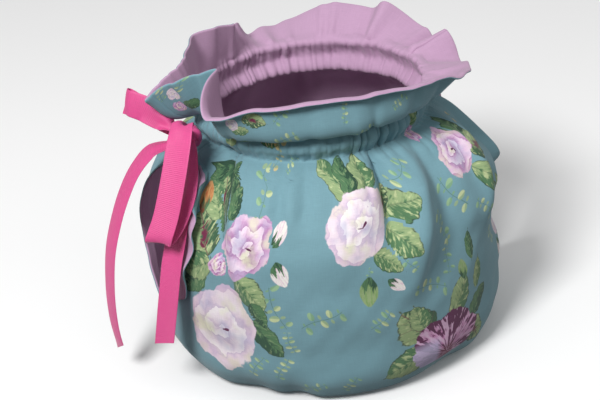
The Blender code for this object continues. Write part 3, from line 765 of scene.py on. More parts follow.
def motif_coordinates(motifs, flat_x, flat_v):
    """For each grid point: x and y in the nearest motif, its kind and own share, and the gate."""
    nearest = np.full(flat_x.shape, REACH_OF_MOTIF)
    owner = np.full(flat_x.shape, -1)
    own = np.zeros(flat_x.shape + (4,))
    for n, motif in enumerate(motifs):
        across, up, half_x, half_y, turn = frame_of(motif)
        right, above = flat_x - across, flat_v - up
        x = (right * math.cos(turn) + above * math.sin(turn)) / half_x
        y = (above * math.cos(turn) - right * math.sin(turn)) / half_y
        distance = np.hypot(x, y)
        closer = distance < nearest
        nearest = np.where(closer, distance, nearest)
        owner = np.where(closer, n, owner)
        here = np.stack([x, y, 0 * x + motif.kind + 0.07 * (n % 13) + 0.02, 0 * x + 1.0], axis=-1)
        own = np.where(closer[..., None], here, own)
    padded = np.pad(owner, 1, mode="edge")
    alone = np.ones(owner.shape, bool)
    for down in (0, 1, 2):
        for along in (0, 1, 2):
            alone &= padded[down : down + owner.shape[0], along : along + owner.shape[1]] == owner
    own[..., 3] *= alone
    return own


def print_on(piece, layers, grid):
    """Stores each layer's motif coordinates on the points of both faces."""
    for name, motifs in layers:
        own = motif_coordinates(motifs, grid[1], grid[2]).reshape(-1, 4)
        own = np.concatenate([own, own]).astype(np.float32)
        piece.data.attributes.new(name, "FLOAT_COLOR", "POINT").data.foreach_set("color", own.ravel())
    print(piece.name, "carries", sum(len(motifs) for name, motifs in layers), "motifs")


print_on(front_print, FRONT_LAYERS, fronts)
print_on(back_print, BACK_LAYERS, backs)

# %% [markdown]
# Dyes are named by how they look in a picture, from 0 to 255. A shader works with amounts of light, which
# rise much more steeply, so each colour is turned into those first.

# %% Colours and new materials
def srgb(red, green, blue):
    """A colour as a picture gives it, 0 to 255, turned into the linear values that a shader takes."""
    parts = [channel / 255 for channel in (red, green, blue)]
    return tuple(p / 12.92 if p <= 0.04045 else ((p + 0.055) / 1.055) ** 2.4 for p in parts) + (1.0,)


def new_material(name, **settings):
    """A material with its node tree and its Principled shader, with some of the shader's values set."""
    made = bpy.data.materials.new(name)
    made.use_nodes = True
    shader = made.node_tree.nodes["Principled BSDF"]
    for setting, value in settings.items():
        shader.inputs[setting.replace("_", " ")].default_value = value
    return made, made.node_tree, shader


print("colours are read as pictures give them")

# %% [markdown]
# The shader draws flowers with sums, so it needs many Math nodes. A small class lets the formulas be
# written as formulas: every + - * / on it, and each function below, adds one node to the material.

# %% Numbers that run through a shader
class Number:
    """A number that runs through the shader."""

    def __init__(self, socket):
        self.socket = socket

    def __add__(self, other):
        return calculated("ADD", self, other)

    def __sub__(self, other):
        return calculated("SUBTRACT", self, other)

    def __rsub__(self, other):
        return calculated("SUBTRACT", other, self)

    def __mul__(self, other):
        return calculated("MULTIPLY", self, other)

    def __truediv__(self, other):
        return calculated("DIVIDE", self, other)

    __radd__, __rmul__ = __add__, __mul__


def feed(socket, value):
    """Links a number or a socket, or writes a plain value on the socket."""
    if isinstance(value, Number):
        value = value.socket
    if isinstance(value, bpy.types.NodeSocket):
        socket.id_data.links.new(value, socket)
    else:
        socket.default_value = value


def new_node(kind, *values):
    """A node in the tree to which the first Number among the values belongs."""
    return next(value.socket.id_data for value in values if isinstance(value, Number)).nodes.new(kind)


def calculated(operation, *values, clamp=False):
    node = new_node("ShaderNodeMath", *values)
    node.operation, node.use_clamp = operation, clamp
    for socket, value in zip(node.inputs, values):
        feed(socket, value)
    return Number(node.outputs[0])


print("numbers can be added, multiplied and divided in a material")

# %% [markdown]
# With that, each operation gets a short name. The most useful one is a step with a soft edge: it turns
# any formula into a shape, 1 inside it and 0 outside.

# %% Short names for shader arithmetic
def soft_step(value, softness):
    """0 below zero, 1 above, with a slope of the given softness."""
    return calculated("MULTIPLY_ADD", value, 1.0 / softness, 0.5, clamp=True)


larger, smaller = partial(calculated, "MAXIMUM"), partial(calculated, "MINIMUM")
whole, part_of_one = partial(calculated, "FLOOR"), partial(calculated, "FRACT")
size_of, wave_of, turn_of = (partial(calculated, word) for word in ("ABSOLUTE", "SINE", "ARCTAN2"))


def raised(value, power):
    return calculated("POWER", larger(value, 0.0), power)


def from_middle(x, y):
    return calculated("SQRT", x * x + y * y)


def is_kind(kind, number):
    """1 where the motif is of this kind, 0 elsewhere."""
    return calculated("COMPARE", whole(kind), float(number), 0.1)


print("a formula can now cut a shape")

# %% [markdown]
# Print is uneven: dyes spread and brush strokes differ. Noise at a motif's own place gives that, so that
# no two roses are alike. A Mix node lays one colour over another by a share.

# %% Noise, paint and places
def speckle(x, y, z, scale, detail=2.0):
    """Soft noise from about 0.25 to 0.75 at a place."""
    place = new_node("ShaderNodeCombineXYZ", x, y, z)
    for socket, value in zip(place.inputs, (x, y, z)):
        feed(socket, value)
    node = new_node("ShaderNodeTexNoise", x, y, z)
    feed(node.inputs["Vector"], place.outputs[0])
    node.inputs["Scale"].default_value = scale
    node.inputs["Detail"].default_value = detail
    return Number(node.outputs["Fac"])


def painted(share, below, above):
    """The colour above laid over the colour below by a share."""
    node = new_node("ShaderNodeMix", share)
    node.data_type = "RGBA"
    feed(node.inputs[0], share)
    feed(node.inputs[6], below)
    feed(node.inputs[7], above)
    return node.outputs[2]


def own_place(tree, name):
    """x, y, kind and gate of a layer."""
    node = tree.nodes.new("ShaderNodeAttribute")
    node.attribute_name = name
    parts = tree.nodes.new("ShaderNodeSeparateColor")
    tree.links.new(node.outputs["Color"], parts.inputs[0])
    x, y, kind = (Number(socket) for socket in parts.outputs)
    return x, y, kind, soft_step(Number(node.outputs["Alpha"]) - 0.03, 0.02)


print("shader arithmetic is ready")

# %% [markdown]
# A painted rose is a set of petals that wind outwards. One spiral sawtooth gives that: it rises across each
# petal from its shaded foot to its pale rim and falls back where the next petal starts. Noise bends the
# petals, a second sawtooth cuts them apart sideways, and tints of cream, pink and grey-lilac lie over it.

# %% Open roses
PLUM, BURGUNDY, CREAM = srgb(88, 20, 70), srgb(104, 26, 60), srgb(226, 228, 190)
LEAF_PALE, LEAF_LIGHT = srgb(190, 200, 150), srgb(146, 168, 120)
LEAF_MID, LEAF_DARK, LEAF_LINE = srgb(78, 118, 80), srgb(36, 72, 52), srgb(30, 54, 46)


def rose_colour(x, y, kind, strength):
    """strength is 0 for a nearly white rose and 1 for a strong lilac one."""
    bend_x = speckle(x, y, kind * 5.3, 2.1, 3.0) - 0.5
    bend_y = speckle(x, y, kind * 3.1 + 9.0, 2.1, 3.0) - 0.5
    bent_x, bent_y = x + bend_x * 0.75, y + bend_y * 0.75
    out = from_middle(bent_x, bent_y)
    turn = turn_of(bent_y, bent_x)
    wound = out * 2.7 + turn / (2 * math.pi) + part_of_one(kind) * 3.0
    ring = whole(wound)
    beside = part_of_one(turn / (2 * math.pi) * 3.0 + ring * 0.37 + kind)
    bulge = size_of(beside - 0.5) * 2.0
    across = part_of_one(wound) - raised(bulge, 3.0) * 0.45
    streak = speckle(turn * 2.2, out * 1.3, kind * 7.7, 3.4, 3.0) - 0.5
    tone = larger(smaller(across, 1.0), 0.0) + streak * 0.7
    shade = painted(strength, srgb(206, 188, 210), srgb(160, 94, 156))
    middle = painted(strength, srgb(228, 212, 224), srgb(206, 164, 202))
    rim = painted(strength, srgb(242, 234, 238), srgb(232, 210, 228))
    colour = painted(soft_step(tone - 0.12, 0.4), shade, middle)
    colour = painted(soft_step(tone - 0.5, 0.45), colour, rim)
    patch = speckle(x, y, kind * 2.9 + 4.0, 1.7)
    colour = painted(soft_step(patch - 0.58, 0.14) * 0.7, colour, CREAM)
    colour = painted(soft_step(0.41 - patch, 0.12) * 0.5, colour, srgb(178, 180, 210))
    outer = soft_step(from_middle(x, y) + streak * 0.5 - 0.74, 0.4)
    colour = painted(outer * 0.4, colour, painted(strength, srgb(224, 186, 212), srgb(190, 120, 176)))
    pen = soft_step(0.05 - size_of(across - 0.03), 0.1) * soft_step(streak, 0.1) * 0.45
    return painted(pen, colour, painted(strength, srgb(180, 164, 194), srgb(150, 78, 142)))


def rose_shape(x, y, kind):
    """Above 0 inside the rose's ragged outline."""
    turn = turn_of(y, x)
    ragged = speckle(x, y, kind * 4.0, 2.4, 3.0) - 0.5
    lobes = size_of(wave_of(turn * 2.5 + kind * 9.0)) * 0.1 + wave_of(turn * 2.0 - kind * 5.0) * 0.05
    return 0.86 + lobes + ragged * 0.42 - from_middle(x, y)


def flower_heart(x, y, kind):
    """The few dark strokes in the middle of an open rose: three arms of uneven length."""
    x, y = x - 0.08, y + 0.02
    out = from_middle(x, y)
    turn = turn_of(y, x)
    arms = raised(wave_of(turn * 1.5 + kind * 8.0), 4.0) * 0.15
    return soft_step(arms * (0.5 + speckle(x, y, kind, 9.0)) - out + 0.02, 0.02)


print("roses can be painted")

# %% [markdown]
# The streaked bloom is drawn in other coordinates: a turn and a distance from a low heart. Its streaks
# are noise that is stretched along the distance. A bud is narrow petals in a green cup with ragged teeth.

# %% The streaked bloom and the buds
def streaked_bloom(x, y, kind):
    """Petals that fan out from a low heart, with dark streaks running to their rims."""
    low = y + 0.75
    out = from_middle(x, low)
    turn = turn_of(x, low)
    streak = speckle(turn * 3.0, out * 0.7, kind, 3.4, 2.0)
    colour = painted(soft_step(streak - 0.47, 0.2), srgb(226, 190, 218), srgb(194, 108, 170))
    dark = streak + wave_of(turn * 4.0 + 0.6) * 0.05 + out * 0.08
    colour = painted(soft_step(dark - 0.57, 0.04), colour, PLUM)
    colour = painted(soft_step(0.32 - out, 0.2) * soft_step(streak - 0.42, 0.1), colour, BURGUNDY)
    side = soft_step(0.0 - x - 0.35, 0.2) * soft_step(-0.05 - y, 0.3)
    colour = painted(side * 0.8, colour, srgb(198, 188, 222))
    rim = 1.42 + size_of(wave_of(turn * 3.1 + 0.4)) * 0.22 + streak * 0.3 - out * 1.12
    return colour, smaller(rim, y + 1.0)


def bud_colour(x, y, kind, petal, streaks, green):
    """y runs from the stalk to the tip. The green cup's rim is a few long teeth."""
    teeth = size_of(part_of_one(x * 1.2 + 0.5) - 0.5) * 1.1
    grain = speckle(x * 2.0, y * 0.6, kind * 3.0, 3.0) - 0.5
    petals = painted(soft_step(grain + 0.04, 0.14), petal, streaks)
    cup = painted(soft_step(grain + x * 0.2, 0.2), green, LEAF_MID)
    colour = painted(soft_step(teeth - y - 0.5 + grain * 1.4, 0.16), petals, cup)
    width = 0.95 - y * y * 0.8 + grain * 0.2
    return colour, smaller(width - size_of(x), 1.0 - size_of(y))


print("a streaked bloom and buds can be painted")

# %% [markdown]
# All flowers share one layer. A material for each kind would cut the cloth into pieces. Instead each kind's
# shape is multiplied by 1 where the motif is of that kind, and by 0 elsewhere.

# %% The layer of blooms
def blooms_on(tree, colour):
    """Lays roses, the streaked bloom and the buds over a colour."""
    x, y, kind, gate = own_place(tree, "blooms")
    strength = is_kind(kind, LILAC_ROSE) * 0.8 + is_kind(kind, SIDE_PETAL) * 1.1
    is_rose = is_kind(kind, PALE_ROSE) + is_kind(kind, LILAC_ROSE) + is_kind(kind, SIDE_PETAL)
    rose = rose_colour(x, y, kind, strength)
    rose = painted(flower_heart(x, y, kind), rose, PLUM)
    colour = painted(soft_step(rose_shape(x, y, kind), 0.03) * is_rose * gate, colour, rose)
    streaked, fan = streaked_bloom(x, y, kind)
    colour = painted(soft_step(fan, 0.04) * is_kind(kind, STREAKED) * gate, colour, streaked)
    for number, petal, streaks, green in (
        (WHITE_BUD, srgb(226, 204, 214), srgb(236, 232, 226), LEAF_DARK),
        (GREEN_BUD, srgb(126, 160, 96), LEAF_LIGHT, LEAF_DARK),
        (ORANGE_BUD, srgb(186, 104, 58), srgb(206, 150, 96), srgb(120, 60, 40)),
    ):
        bud, shape = bud_colour(x, y, kind, petal, streaks, green)
        colour = painted(soft_step(shape, 0.1) * is_kind(kind, number) * gate, colour, bud)
    return colour


print("the layer of blooms is ready")

# %% [markdown]
# Leaves are broad and toothed, lighter in one half than in the other, with a pen line round them. The
# brush strokes follow the veins, because a painter works outwards from the rib.

# %% Leaves
def leaves_on(tree, colour, layer):
    """Lays one layer of leaves over a colour."""
    x, y, kind, gate = own_place(tree, layer)
    x, y = x * 0.9, y * 0.86
    teeth = size_of(part_of_one(x * 2.6 - size_of(y) * 0.8 + kind) - 0.5) * 0.12
    ragged = speckle(x, y * 0.6, kind * 6.0, 2.4, 3.0) - 0.5
    half = raised(1.0 - x * x, 0.6) * (0.98 - x * 0.2)
    shape = half - size_of(y) - teeth + ragged * 0.5 + 0.02
    rib = y - wave_of(x * 2.2 + kind * 4.0) * 0.1
    veins = size_of(part_of_one(x * 1.9 - size_of(rib) + kind) - 0.5)
    along_vein = x * 1.9 - size_of(rib)
    stroke = speckle(along_vein * 1.5, size_of(rib) * 0.9, kind * 9.0 + rib, 2.2, 3.0) - 0.5
    light_side = soft_step(rib * 0.6 + stroke * 2.2 + 0.12, 0.3)
    dark, red, orange = is_kind(kind, DARK_LEAF), is_kind(kind, RED_VEINED), is_kind(kind, ORANGE_LEAF)
    bright = painted(dark, LEAF_LIGHT, LEAF_MID)
    bright = painted(orange, bright, srgb(206, 172, 112))
    deep = painted(larger(dark, red * 0.7), LEAF_MID, LEAF_DARK)
    leaf = painted(light_side, deep, bright)
    pale = soft_step(stroke + veins * 0.2 - 0.16, 0.1) * (1.0 - dark * 0.7)
    leaf = painted(pale * 0.8, leaf, painted(orange, LEAF_PALE, srgb(222, 200, 150)))
    line = painted(red, LEAF_LINE, BURGUNDY)
    fine = soft_step(0.035 - size_of(rib), 0.05) * 0.7
    fine = larger(fine, soft_step(0.05 - veins + stroke * 0.12, 0.06) * 0.28)
    leaf = painted(fine * (0.55 + red * 0.45), leaf, line)
    heart = soft_step(0.3 - size_of(x + 0.1) + stroke * 1.3, 0.14)
    heart = heart * soft_step(0.2 - size_of(rib) + stroke * 0.9, 0.14)
    leaf = painted(heart * red, leaf, BURGUNDY)
    leaf = painted(soft_step(0.09 - shape, 0.08) * soft_step(stroke + 0.04, 0.12) * 0.8, leaf, LEAF_LINE)
    return painted(soft_step(shape, 0.06) * gate, colour, leaf)


print("leaves can be painted")

# %% [markdown]
# A sprig is drawn in the same way, but along its stalk the coordinate is cut into cells. FLOOR gives each
# cell its number, and from the number come the leaflet's side, its size and its green.

# %% Sprigs
LEAFLETS = 2.4


def sprigs_on(tree, colour):
    """Lays the sprigs over a colour."""
    x, y, kind, gate = own_place(tree, "sprigs")
    along = (x + 1.0) * LEAFLETS
    cell = whole(along)
    side = part_of_one(cell / 2.0) * 4.0 - 1.0
    lot = part_of_one(wave_of(cell * 12.99 + kind * 78.2) * 437.5)
    spine = y - wave_of(x * 2.6 + kind * 6.0) * 0.16
    right = part_of_one(along) - 0.5 + (lot - 0.5) * 0.2
    above = spine * side - 0.42 + (lot - 0.5) * 0.3
    turned_x = right * 0.83 - above * 0.4
    turned_y = right * 0.5 + above * 0.9
    leaflet = 1.0 - calculated("SQRT", turned_x * turned_x * 10.5 + turned_y * turned_y * 6.4)
    leaflet = leaflet + (part_of_one(lot * 7.0) - 0.6) * 0.35
    partner = raised(size_of(right + 0.1), 2.0) * 26.0 + raised(size_of(above + 0.7), 2.0) * 14.0
    partner = 1.0 - calculated("SQRT", partner)
    leaflet = larger(leaflet, partner - (1.0 - lot) * 0.5)
    stalk = 0.03 - size_of(spine)
    twig = 0.025 - size_of(right * 0.9 + above * 0.35 + 0.1)
    twig = smaller(twig, smaller(spine * side, 0.42 - spine * side))
    inside = soft_step(0.98 - size_of(x), 0.05)
    green = painted(soft_step(lot - 0.5, 0.3), srgb(150, 184, 140), srgb(198, 208, 156))
    green = painted(is_kind(kind, ORANGE_LEAF), green, srgb(210, 188, 130))
    green = painted(soft_step(turned_x * 2.0 - 0.05, 0.2) * 0.6, green, srgb(100, 146, 116))
    colour = painted(soft_step(larger(stalk, twig), 0.03) * inside * gate * 0.7, colour, srgb(78, 122, 98))
    return painted(soft_step(leaflet, 0.14) * inside * gate * 0.92, colour, green)


print("sprigs can be painted")

# %% [markdown]
# Under the print lies plain-woven cotton: a fine thread count, threads a little thicker here and there, and
# a soft sheen. The weave itself is drawn in the flat coordinates too, so it follows every fold.

# %% Cotton, printed and plain
THREAD_PITCH = 0.42


def cotton(name, ground, patterned, roughness=0.82):
    """Woven cloth of one ground colour, with or without the print."""
    made, tree, shader = new_material(name, Roughness=roughness, Sheen_Weight=0.15, Sheen_Roughness=0.5)
    flat = tree.nodes.new("ShaderNodeAttribute")
    flat.attribute_name = "flat_mm"
    parts = tree.nodes.new("ShaderNodeSeparateXYZ")
    tree.links.new(flat.outputs["Vector"], parts.inputs[0])
    across, up = Number(parts.outputs["X"]), Number(parts.outputs["Y"])
    cloud = speckle(across * 0.02, up * 0.02, 1.0, 1.0, 3.0)
    slub = speckle(across * 0.12, up * 2.2, 5.0, 1.0, 1.0)
    slub = slub + speckle(across * 2.2, up * 0.12, 7.0, 1.0, 1.0)
    tint = 0.98 + (cloud - 0.5) * 0.12 + (slub - 1.0) * 0.16
    dyed = tree.nodes.new("ShaderNodeRGB")
    dyed.outputs[0].default_value = ground
    colour = dyed.outputs[0]
    if patterned:
        colour = sprigs_on(tree, colour)
        colour = leaves_on(tree, colour, "low_leaves")
        colour = leaves_on(tree, colour, "high_leaves")
        colour = blooms_on(tree, colour)
    shaded = tree.nodes.new("ShaderNodeVectorMath")
    shaded.operation = "SCALE"
    tree.links.new(colour, shaded.inputs[0])
    feed(shaded.inputs["Scale"], tint)
    tree.links.new(shaded.outputs[0], shader.inputs["Base Color"])
    thread = 2 * math.pi / THREAD_PITCH
    weave = wave_of(across * thread) * wave_of(up * thread) + (slub - 1.0) * 1.5
    bump = tree.nodes.new("ShaderNodeBump")
    bump.inputs["Strength"].default_value = 0.25
    bump.inputs["Distance"].default_value = 0.00008
    feed(bump.inputs["Height"], weave)
    tree.links.new(bump.outputs[0], shader.inputs["Normal"])
    print(name, "has", len(tree.nodes), "nodes")
    return made


GROUND = srgb(114, 154, 165)
LILAC = srgb(184, 148, 178)
floral = cotton("floral print cotton", GROUND, True)
lilac = cotton("plain lilac cotton", LILAC, False)
ribbon_pink = cotton("pink grosgrain", srgb(214, 74, 138), False, roughness=0.5)

# %% [markdown]
# The cosy stands on a pale studio floor, four corners with one face between them. It is wide enough that
# no view meets its edge.

# %% The floor
FLOOR_HALF = 3  # metres
floor_mesh = bpy.data.meshes.new("floor")
corners = [(x * FLOOR_HALF, y * FLOOR_HALF, 0) for x, y in ((-1, -1), (1, -1), (1, 1), (-1, 1))]
floor_mesh.from_pydata(corners, [], [(0, 1, 2, 3)])
floor = in_scene("floor", floor_mesh)
floor_paint = new_material("pale studio floor", Base_Color=(0.94, 0.94, 0.94, 1.0), Roughness=0.9)[0]
floor_mesh.materials.append(floor_paint)
floor.visible_diffuse = False  # a white floor under the lamps, without its glow on the cloth
print("floor:", tuple(floor.dimensions))

# %% [markdown]
# The camera looks down a little from the left, and it is rolled by a few degrees, as a camera in the hand
# is. The lens follows from how many pixels a millimetre takes at the pot's axis.

# %% The camera
PICTURE_WIDTH, PICTURE_HEIGHT, SENSOR_WIDTH, TARGET_HEIGHT = 600, 400, 36.0, 85.0
target = (AXIS + Vector((0.0, 0.0, TARGET_HEIGHT))) * MM
AZIMUTH, ELEVATION, ROLL, DISTANCE = math.radians(-25.0), math.radians(27.0), math.radians(5.6), 1.0
PIXELS_A_MM, TARGET_PIXEL = 1.645, (322.4, 197.8)
towards = Vector(
    (math.sin(AZIMUTH) * math.cos(ELEVATION), -math.cos(AZIMUTH) * math.cos(ELEVATION), math.sin(ELEVATION))
)
level_right = (-towards).cross(Vector((0, 0, 1))).normalized()
level_up = level_right.cross(-towards)
right = level_right * math.cos(ROLL) - level_up * math.sin(ROLL)
up = level_up * math.cos(ROLL) + level_right * math.sin(ROLL)
camera_data = bpy.data.cameras.new("camera")
camera_data.sensor_width = SENSOR_WIDTH
camera_data.lens = PIXELS_A_MM * DISTANCE * 1000 / PICTURE_WIDTH * SENSOR_WIDTH
camera_data.shift_x = (PICTURE_WIDTH / 2 - TARGET_PIXEL[0]) / PICTURE_WIDTH
camera_data.shift_y = (TARGET_PIXEL[1] - PICTURE_HEIGHT / 2) / PICTURE_WIDTH
camera = in_scene("camera", camera_data)
placed = Matrix((right, up, towards)).transposed().to_4x4()
placed.translation = target + towards * DISTANCE
camera.matrix_world = placed
bpy.context.scene.camera = camera
print("camera at", tuple(round(c, 2) for c in placed.translation))

# %% [markdown]
# One large soft lamp stands at the upper left, with a weak one at the right, so the folds are modelled by
# one side's light. The sky is bright above and dim below, which keeps the underside of the ruffle dark.

# %% Sky and lamps
SKY_LOW, SKY_HIGH = 0.1, 0.5
world = bpy.data.worlds.new("studio")
world.use_nodes = True
sky = world.node_tree
direction = sky.nodes.new("ShaderNodeTexCoord")
height = sky.nodes.new("ShaderNodeSeparateXYZ")
brightness = sky.nodes.new("ShaderNodeMapRange")
brightness.interpolation_type = "SMOOTHSTEP"
for name, value in (("From Min", -0.25), ("From Max", 0.9), ("To Min", SKY_LOW), ("To Max", SKY_HIGH)):
    brightness.inputs[name].default_value = value
sky.links.new(direction.outputs["Generated"], height.inputs[0])
sky.links.new(height.outputs["Z"], brightness.inputs["Value"])
sky.links.new(brightness.outputs[0], sky.nodes["Background"].inputs["Strength"])
sky.nodes["Background"].inputs["Color"].default_value = (1.0, 1.0, 1.0, 1.0)
bpy.context.scene.world = world
bpy.context.scene.view_settings.view_transform = "Standard"


def soft_light(name, place, size, power):
    data = bpy.data.lights.new(name, "AREA")
    data.shape, data.size, data.energy = "DISK", size, power
    lamp = in_scene(name, data)
    lamp.location = place
    lamp.rotation_euler = (target - Vector(place)).to_track_quat("-Z", "Y").to_euler()
    print("light", name, "at", place)


soft_light("key", (-1.1, -0.85, 1.5), 0.6, 38.0)
soft_light("fill", (1.2, -1.3, 1.0), 1.2, 4.0)

# %% [markdown]
# The drawstring is grosgrain: a ribbon with fine ribs across it, stiff enough to stand out in loops. It is
# made like a road: a smooth route through a few points, and at each point the direction of the ribbon's
# width. Where the ribbon is pinched at the knot it keeps its width and folds into pleats instead. The ribs
# are in the mesh, one about every millimetre, with a flat woven edge left and right.

# %% The bow's routes
Route = namedtuple("Route", "x y z turn tilt spread")
BOW_LOOP_FRONT = rows_of(
    Route,
    (-82.6, -8, 157.2, -100, 0, 0.35), (-85.6, -12.5, 162.4, -90, 0, 0.50),
    (-90.2, -19.5, 167.2, -66, 4, 0.90), (-96.2, -27.5, 162.0, -52, 0, 1.0),
    (-104.6, -34, 145.3, -48, 0, 1.0), (-112.9, -37, 125.6, -46, 0, 1.0),
    (-118.8, -37, 113.0, -46, 0, 1.0), (-118.4, -34, 108.2, -46, 0, 1.0),
    (-108.4, -32, 114.5, -56, 0, 1.0), (-97.4, -29.2, 130.5, -62, 0, 0.95),
    (-88.2, -18.5, 144.5, -78, 0, 0.7), (-82.6, -8, 151.2, -100, 0, 0.35),
)
BOW_LOOP_BACK = rows_of(
    Route,
    (-84.6, -2, 155.6, 90, 0, 0.35), (-89, 0.5, 157.4, 94, 30, 0.55), (-93, 6, 162.4, 100, 60, 0.9),
    (-100, 12, 168.4, 96, 68, 1.0), (-106, 19, 171, 50, 72, 1.0), (-105, 25, 170, 10, 72, 1.0),
    (-98, 23, 164.4, -40, 66, 0.9), (-91.5, 12, 155.5, -70, 50, 0.7),
    (-84.6, -1, 150.4, -90, 0, 0.35),
)
TAIL_FRONT = rows_of(
    Route,
    (-84.2, -8, 147.6, -96, 0, 0.35), (-89.5, -14.5, 139.5, -84, 0, 0.75),
    (-97, -22.5, 126.5, -74, 0, 1.0), (-105.6, -29.6, 108.8, -68, 0, 1.0),
    (-112.2, -31.2, 90.8, -66, 0, 1.0), (-116.2, -30.6, 72.8, -66, 0, 1.0),
    (-119.6, -28.8, 54.6, -67, 0, 1.0), (-122.3, -27.5, 40.0, -68, 0, 1.0),
)
TAIL_BACK = rows_of(
    Route,
    (-84.6, -2, 147.2, 90, 0, 0.35), (-91, 3, 146.5, 88, 0, 0.8), (-101, 9, 143, 88, 0, 1.0),
    (-110, 12, 134, 88, 0, 1.0), (-118, 13, 122, 90, 0, 1.0), (-126, 13, 106, 90, 0, 1.0),
    (-133, 13, 86, 90, 0, 1.0), (-137, 13, 62, 90, 0, 1.0), (-138, 13, 40, 90, 0, 1.0),
    (-136.5, 13, 22, 90, 0, 1.0),
)
print("stops:", len(BOW_LOOP_FRONT), len(BOW_LOOP_BACK), len(TAIL_FRONT), len(TAIL_BACK))

# %% [markdown]
# A curve with a flat profile would make a ribbon quickly, but pleats and a slant cut need points across
# it. So a spline through the stops gives the centre, the direction of the width and how far the ribbon is
# spread, four rows to each rib. From them come two faces with ribs and a low crown across.

# %% Grosgrain ribbon
RIB_PITCH, RIB_RISE = 1.06, 0.11
ROWS_A_RIB = 4
RIBBON_THICK = 0.5
CAMBER = 0.5  # the ribbon's middle stands this much higher than its edges
ACROSS = np.array([-1, -0.96, -0.86, -0.7, -0.5, -0.3, -0.1, 0.1, 0.3, 0.5, 0.7, 0.86, 0.96, 1]) / 2


def smooth_rows(route):
    """Centres, width directions and spreads along a route, four to each rib."""
    keys = []
    for stop in route:
        turn, tilt = math.radians(stop.turn), math.radians(stop.tilt)
        wide = (math.cos(turn) * math.cos(tilt), math.sin(turn) * math.cos(tilt), math.sin(tilt))
        keys.append((stop.x, stop.y, stop.z) + wide + (stop.spread,))
    keys = np.array(keys)
    padded = np.vstack([2 * keys[0] - keys[1], keys, 2 * keys[-1] - keys[-2]])
    rows = []
    for a, b, c, d in zip(padded, padded[1:], padded[2:], padded[3:]):
        t = np.linspace(0, 1, 60, endpoint=False)[:, None]
        bend, twist = 2 * a - 5 * b + 4 * c - d, 3 * b - a - 3 * c + d
        rows.append(0.5 * (2 * b + (c - a) * t + bend * t**2 + twist * t**3))
    rows = np.vstack(rows + [keys[-1:]])
    length = np.concatenate([[0], np.cumsum(np.linalg.norm(np.diff(rows[:, :3], axis=0), axis=1))])
    count = int(length[-1] / RIB_PITCH) * ROWS_A_RIB + 1
    even = np.linspace(0, length[-1], count)
    return np.stack([np.interp(even, length, rows[:, k]) for k in range(7)], axis=1), length[-1]


def grosgrain(name, route, cut_slant=0.0):
    """cut_slant moves one corner of the free end on and the other back, in millimetres."""
    rows, length = smooth_rows(route)
    centre, wide, spread = rows[:, :3], rows[:, 3:6], rows[:, 6:]
    ahead = np.gradient(centre, axis=0)
    ahead /= np.linalg.norm(ahead, axis=1, keepdims=True)
    wide = wide - ahead * (wide * ahead).sum(1, keepdims=True)
    wide /= np.linalg.norm(wide, axis=1, keepdims=True)
    rise = np.cross(wide, ahead)
    run = np.linspace(0, length, len(rows))[:, None]
    pinch = np.sqrt(np.clip(1.0 - spread**2, 0.0, 1.0))
    pleat = np.sin(ACROSS * 2 * math.pi * 1.5 + 0.6) * pinch * 1.5
    crown = CAMBER * (1.0 - 4 * ACROSS**2) * spread
    slant = cut_slant * ACROSS * 2 * np.clip((run - length + 9) / 9, 0, 1)
    middle = (
        centre[:, None] + wide[:, None] * (ACROSS * RIBBON_WIDTH * spread)[..., None]
        + rise[:, None] * (pleat + crown)[..., None] + ahead[:, None] * slant[..., None]
    )
    ribbed = np.clip((0.455 - np.abs(ACROSS)) / 0.02, 0, 1)
    rib = RIB_RISE * ribbed * np.cos(2 * math.pi * run / RIB_PITCH)
    edge = np.where(np.abs(ACROSS) > 0.49, 0.35, 1.0)
    half = rise[:, None] * ((RIBBON_THICK / 2 + rib) * edge)[..., None]
    made = grid_sheet(name, middle + half, middle - half, True, False)
    remember_flat(made, ACROSS * RIBBON_WIDTH + 0 * run, run + 0 * ACROSS)
    print(f"{name}: {length:.0f} mm, {int(length / RIB_PITCH)} ribs, {len(made.data.polygons)} faces")
    return made, length


loop_front, loop_front_length = grosgrain("bow_front", BOW_LOOP_FRONT)
loop_back, loop_back_length = grosgrain("bow_back", BOW_LOOP_BACK)
tail_front, tail_front_length = grosgrain("tail_front", TAIL_FRONT, cut_slant=-3.8)
tail_back, tail_back_length = grosgrain("tail_back", TAIL_BACK, cut_slant=4.8)

# %% [markdown]
# The knot is the same ribbon wrapped once round the middle of the bow: a short tube with the ribbon's
# pleats running round it, drawn in where it grips the loops.

# %% The knot
KNOT_CENTRE, KNOT_HALF, KNOT_LAYER = (-79.6, -5.0, 152.0), (4.4, 6.4, 6.6), 0.7
turns = np.linspace(0, 2 * math.pi, 73)[:-1]
widths = np.sin(np.linspace(-0.5, 0.5, 21) * math.pi)


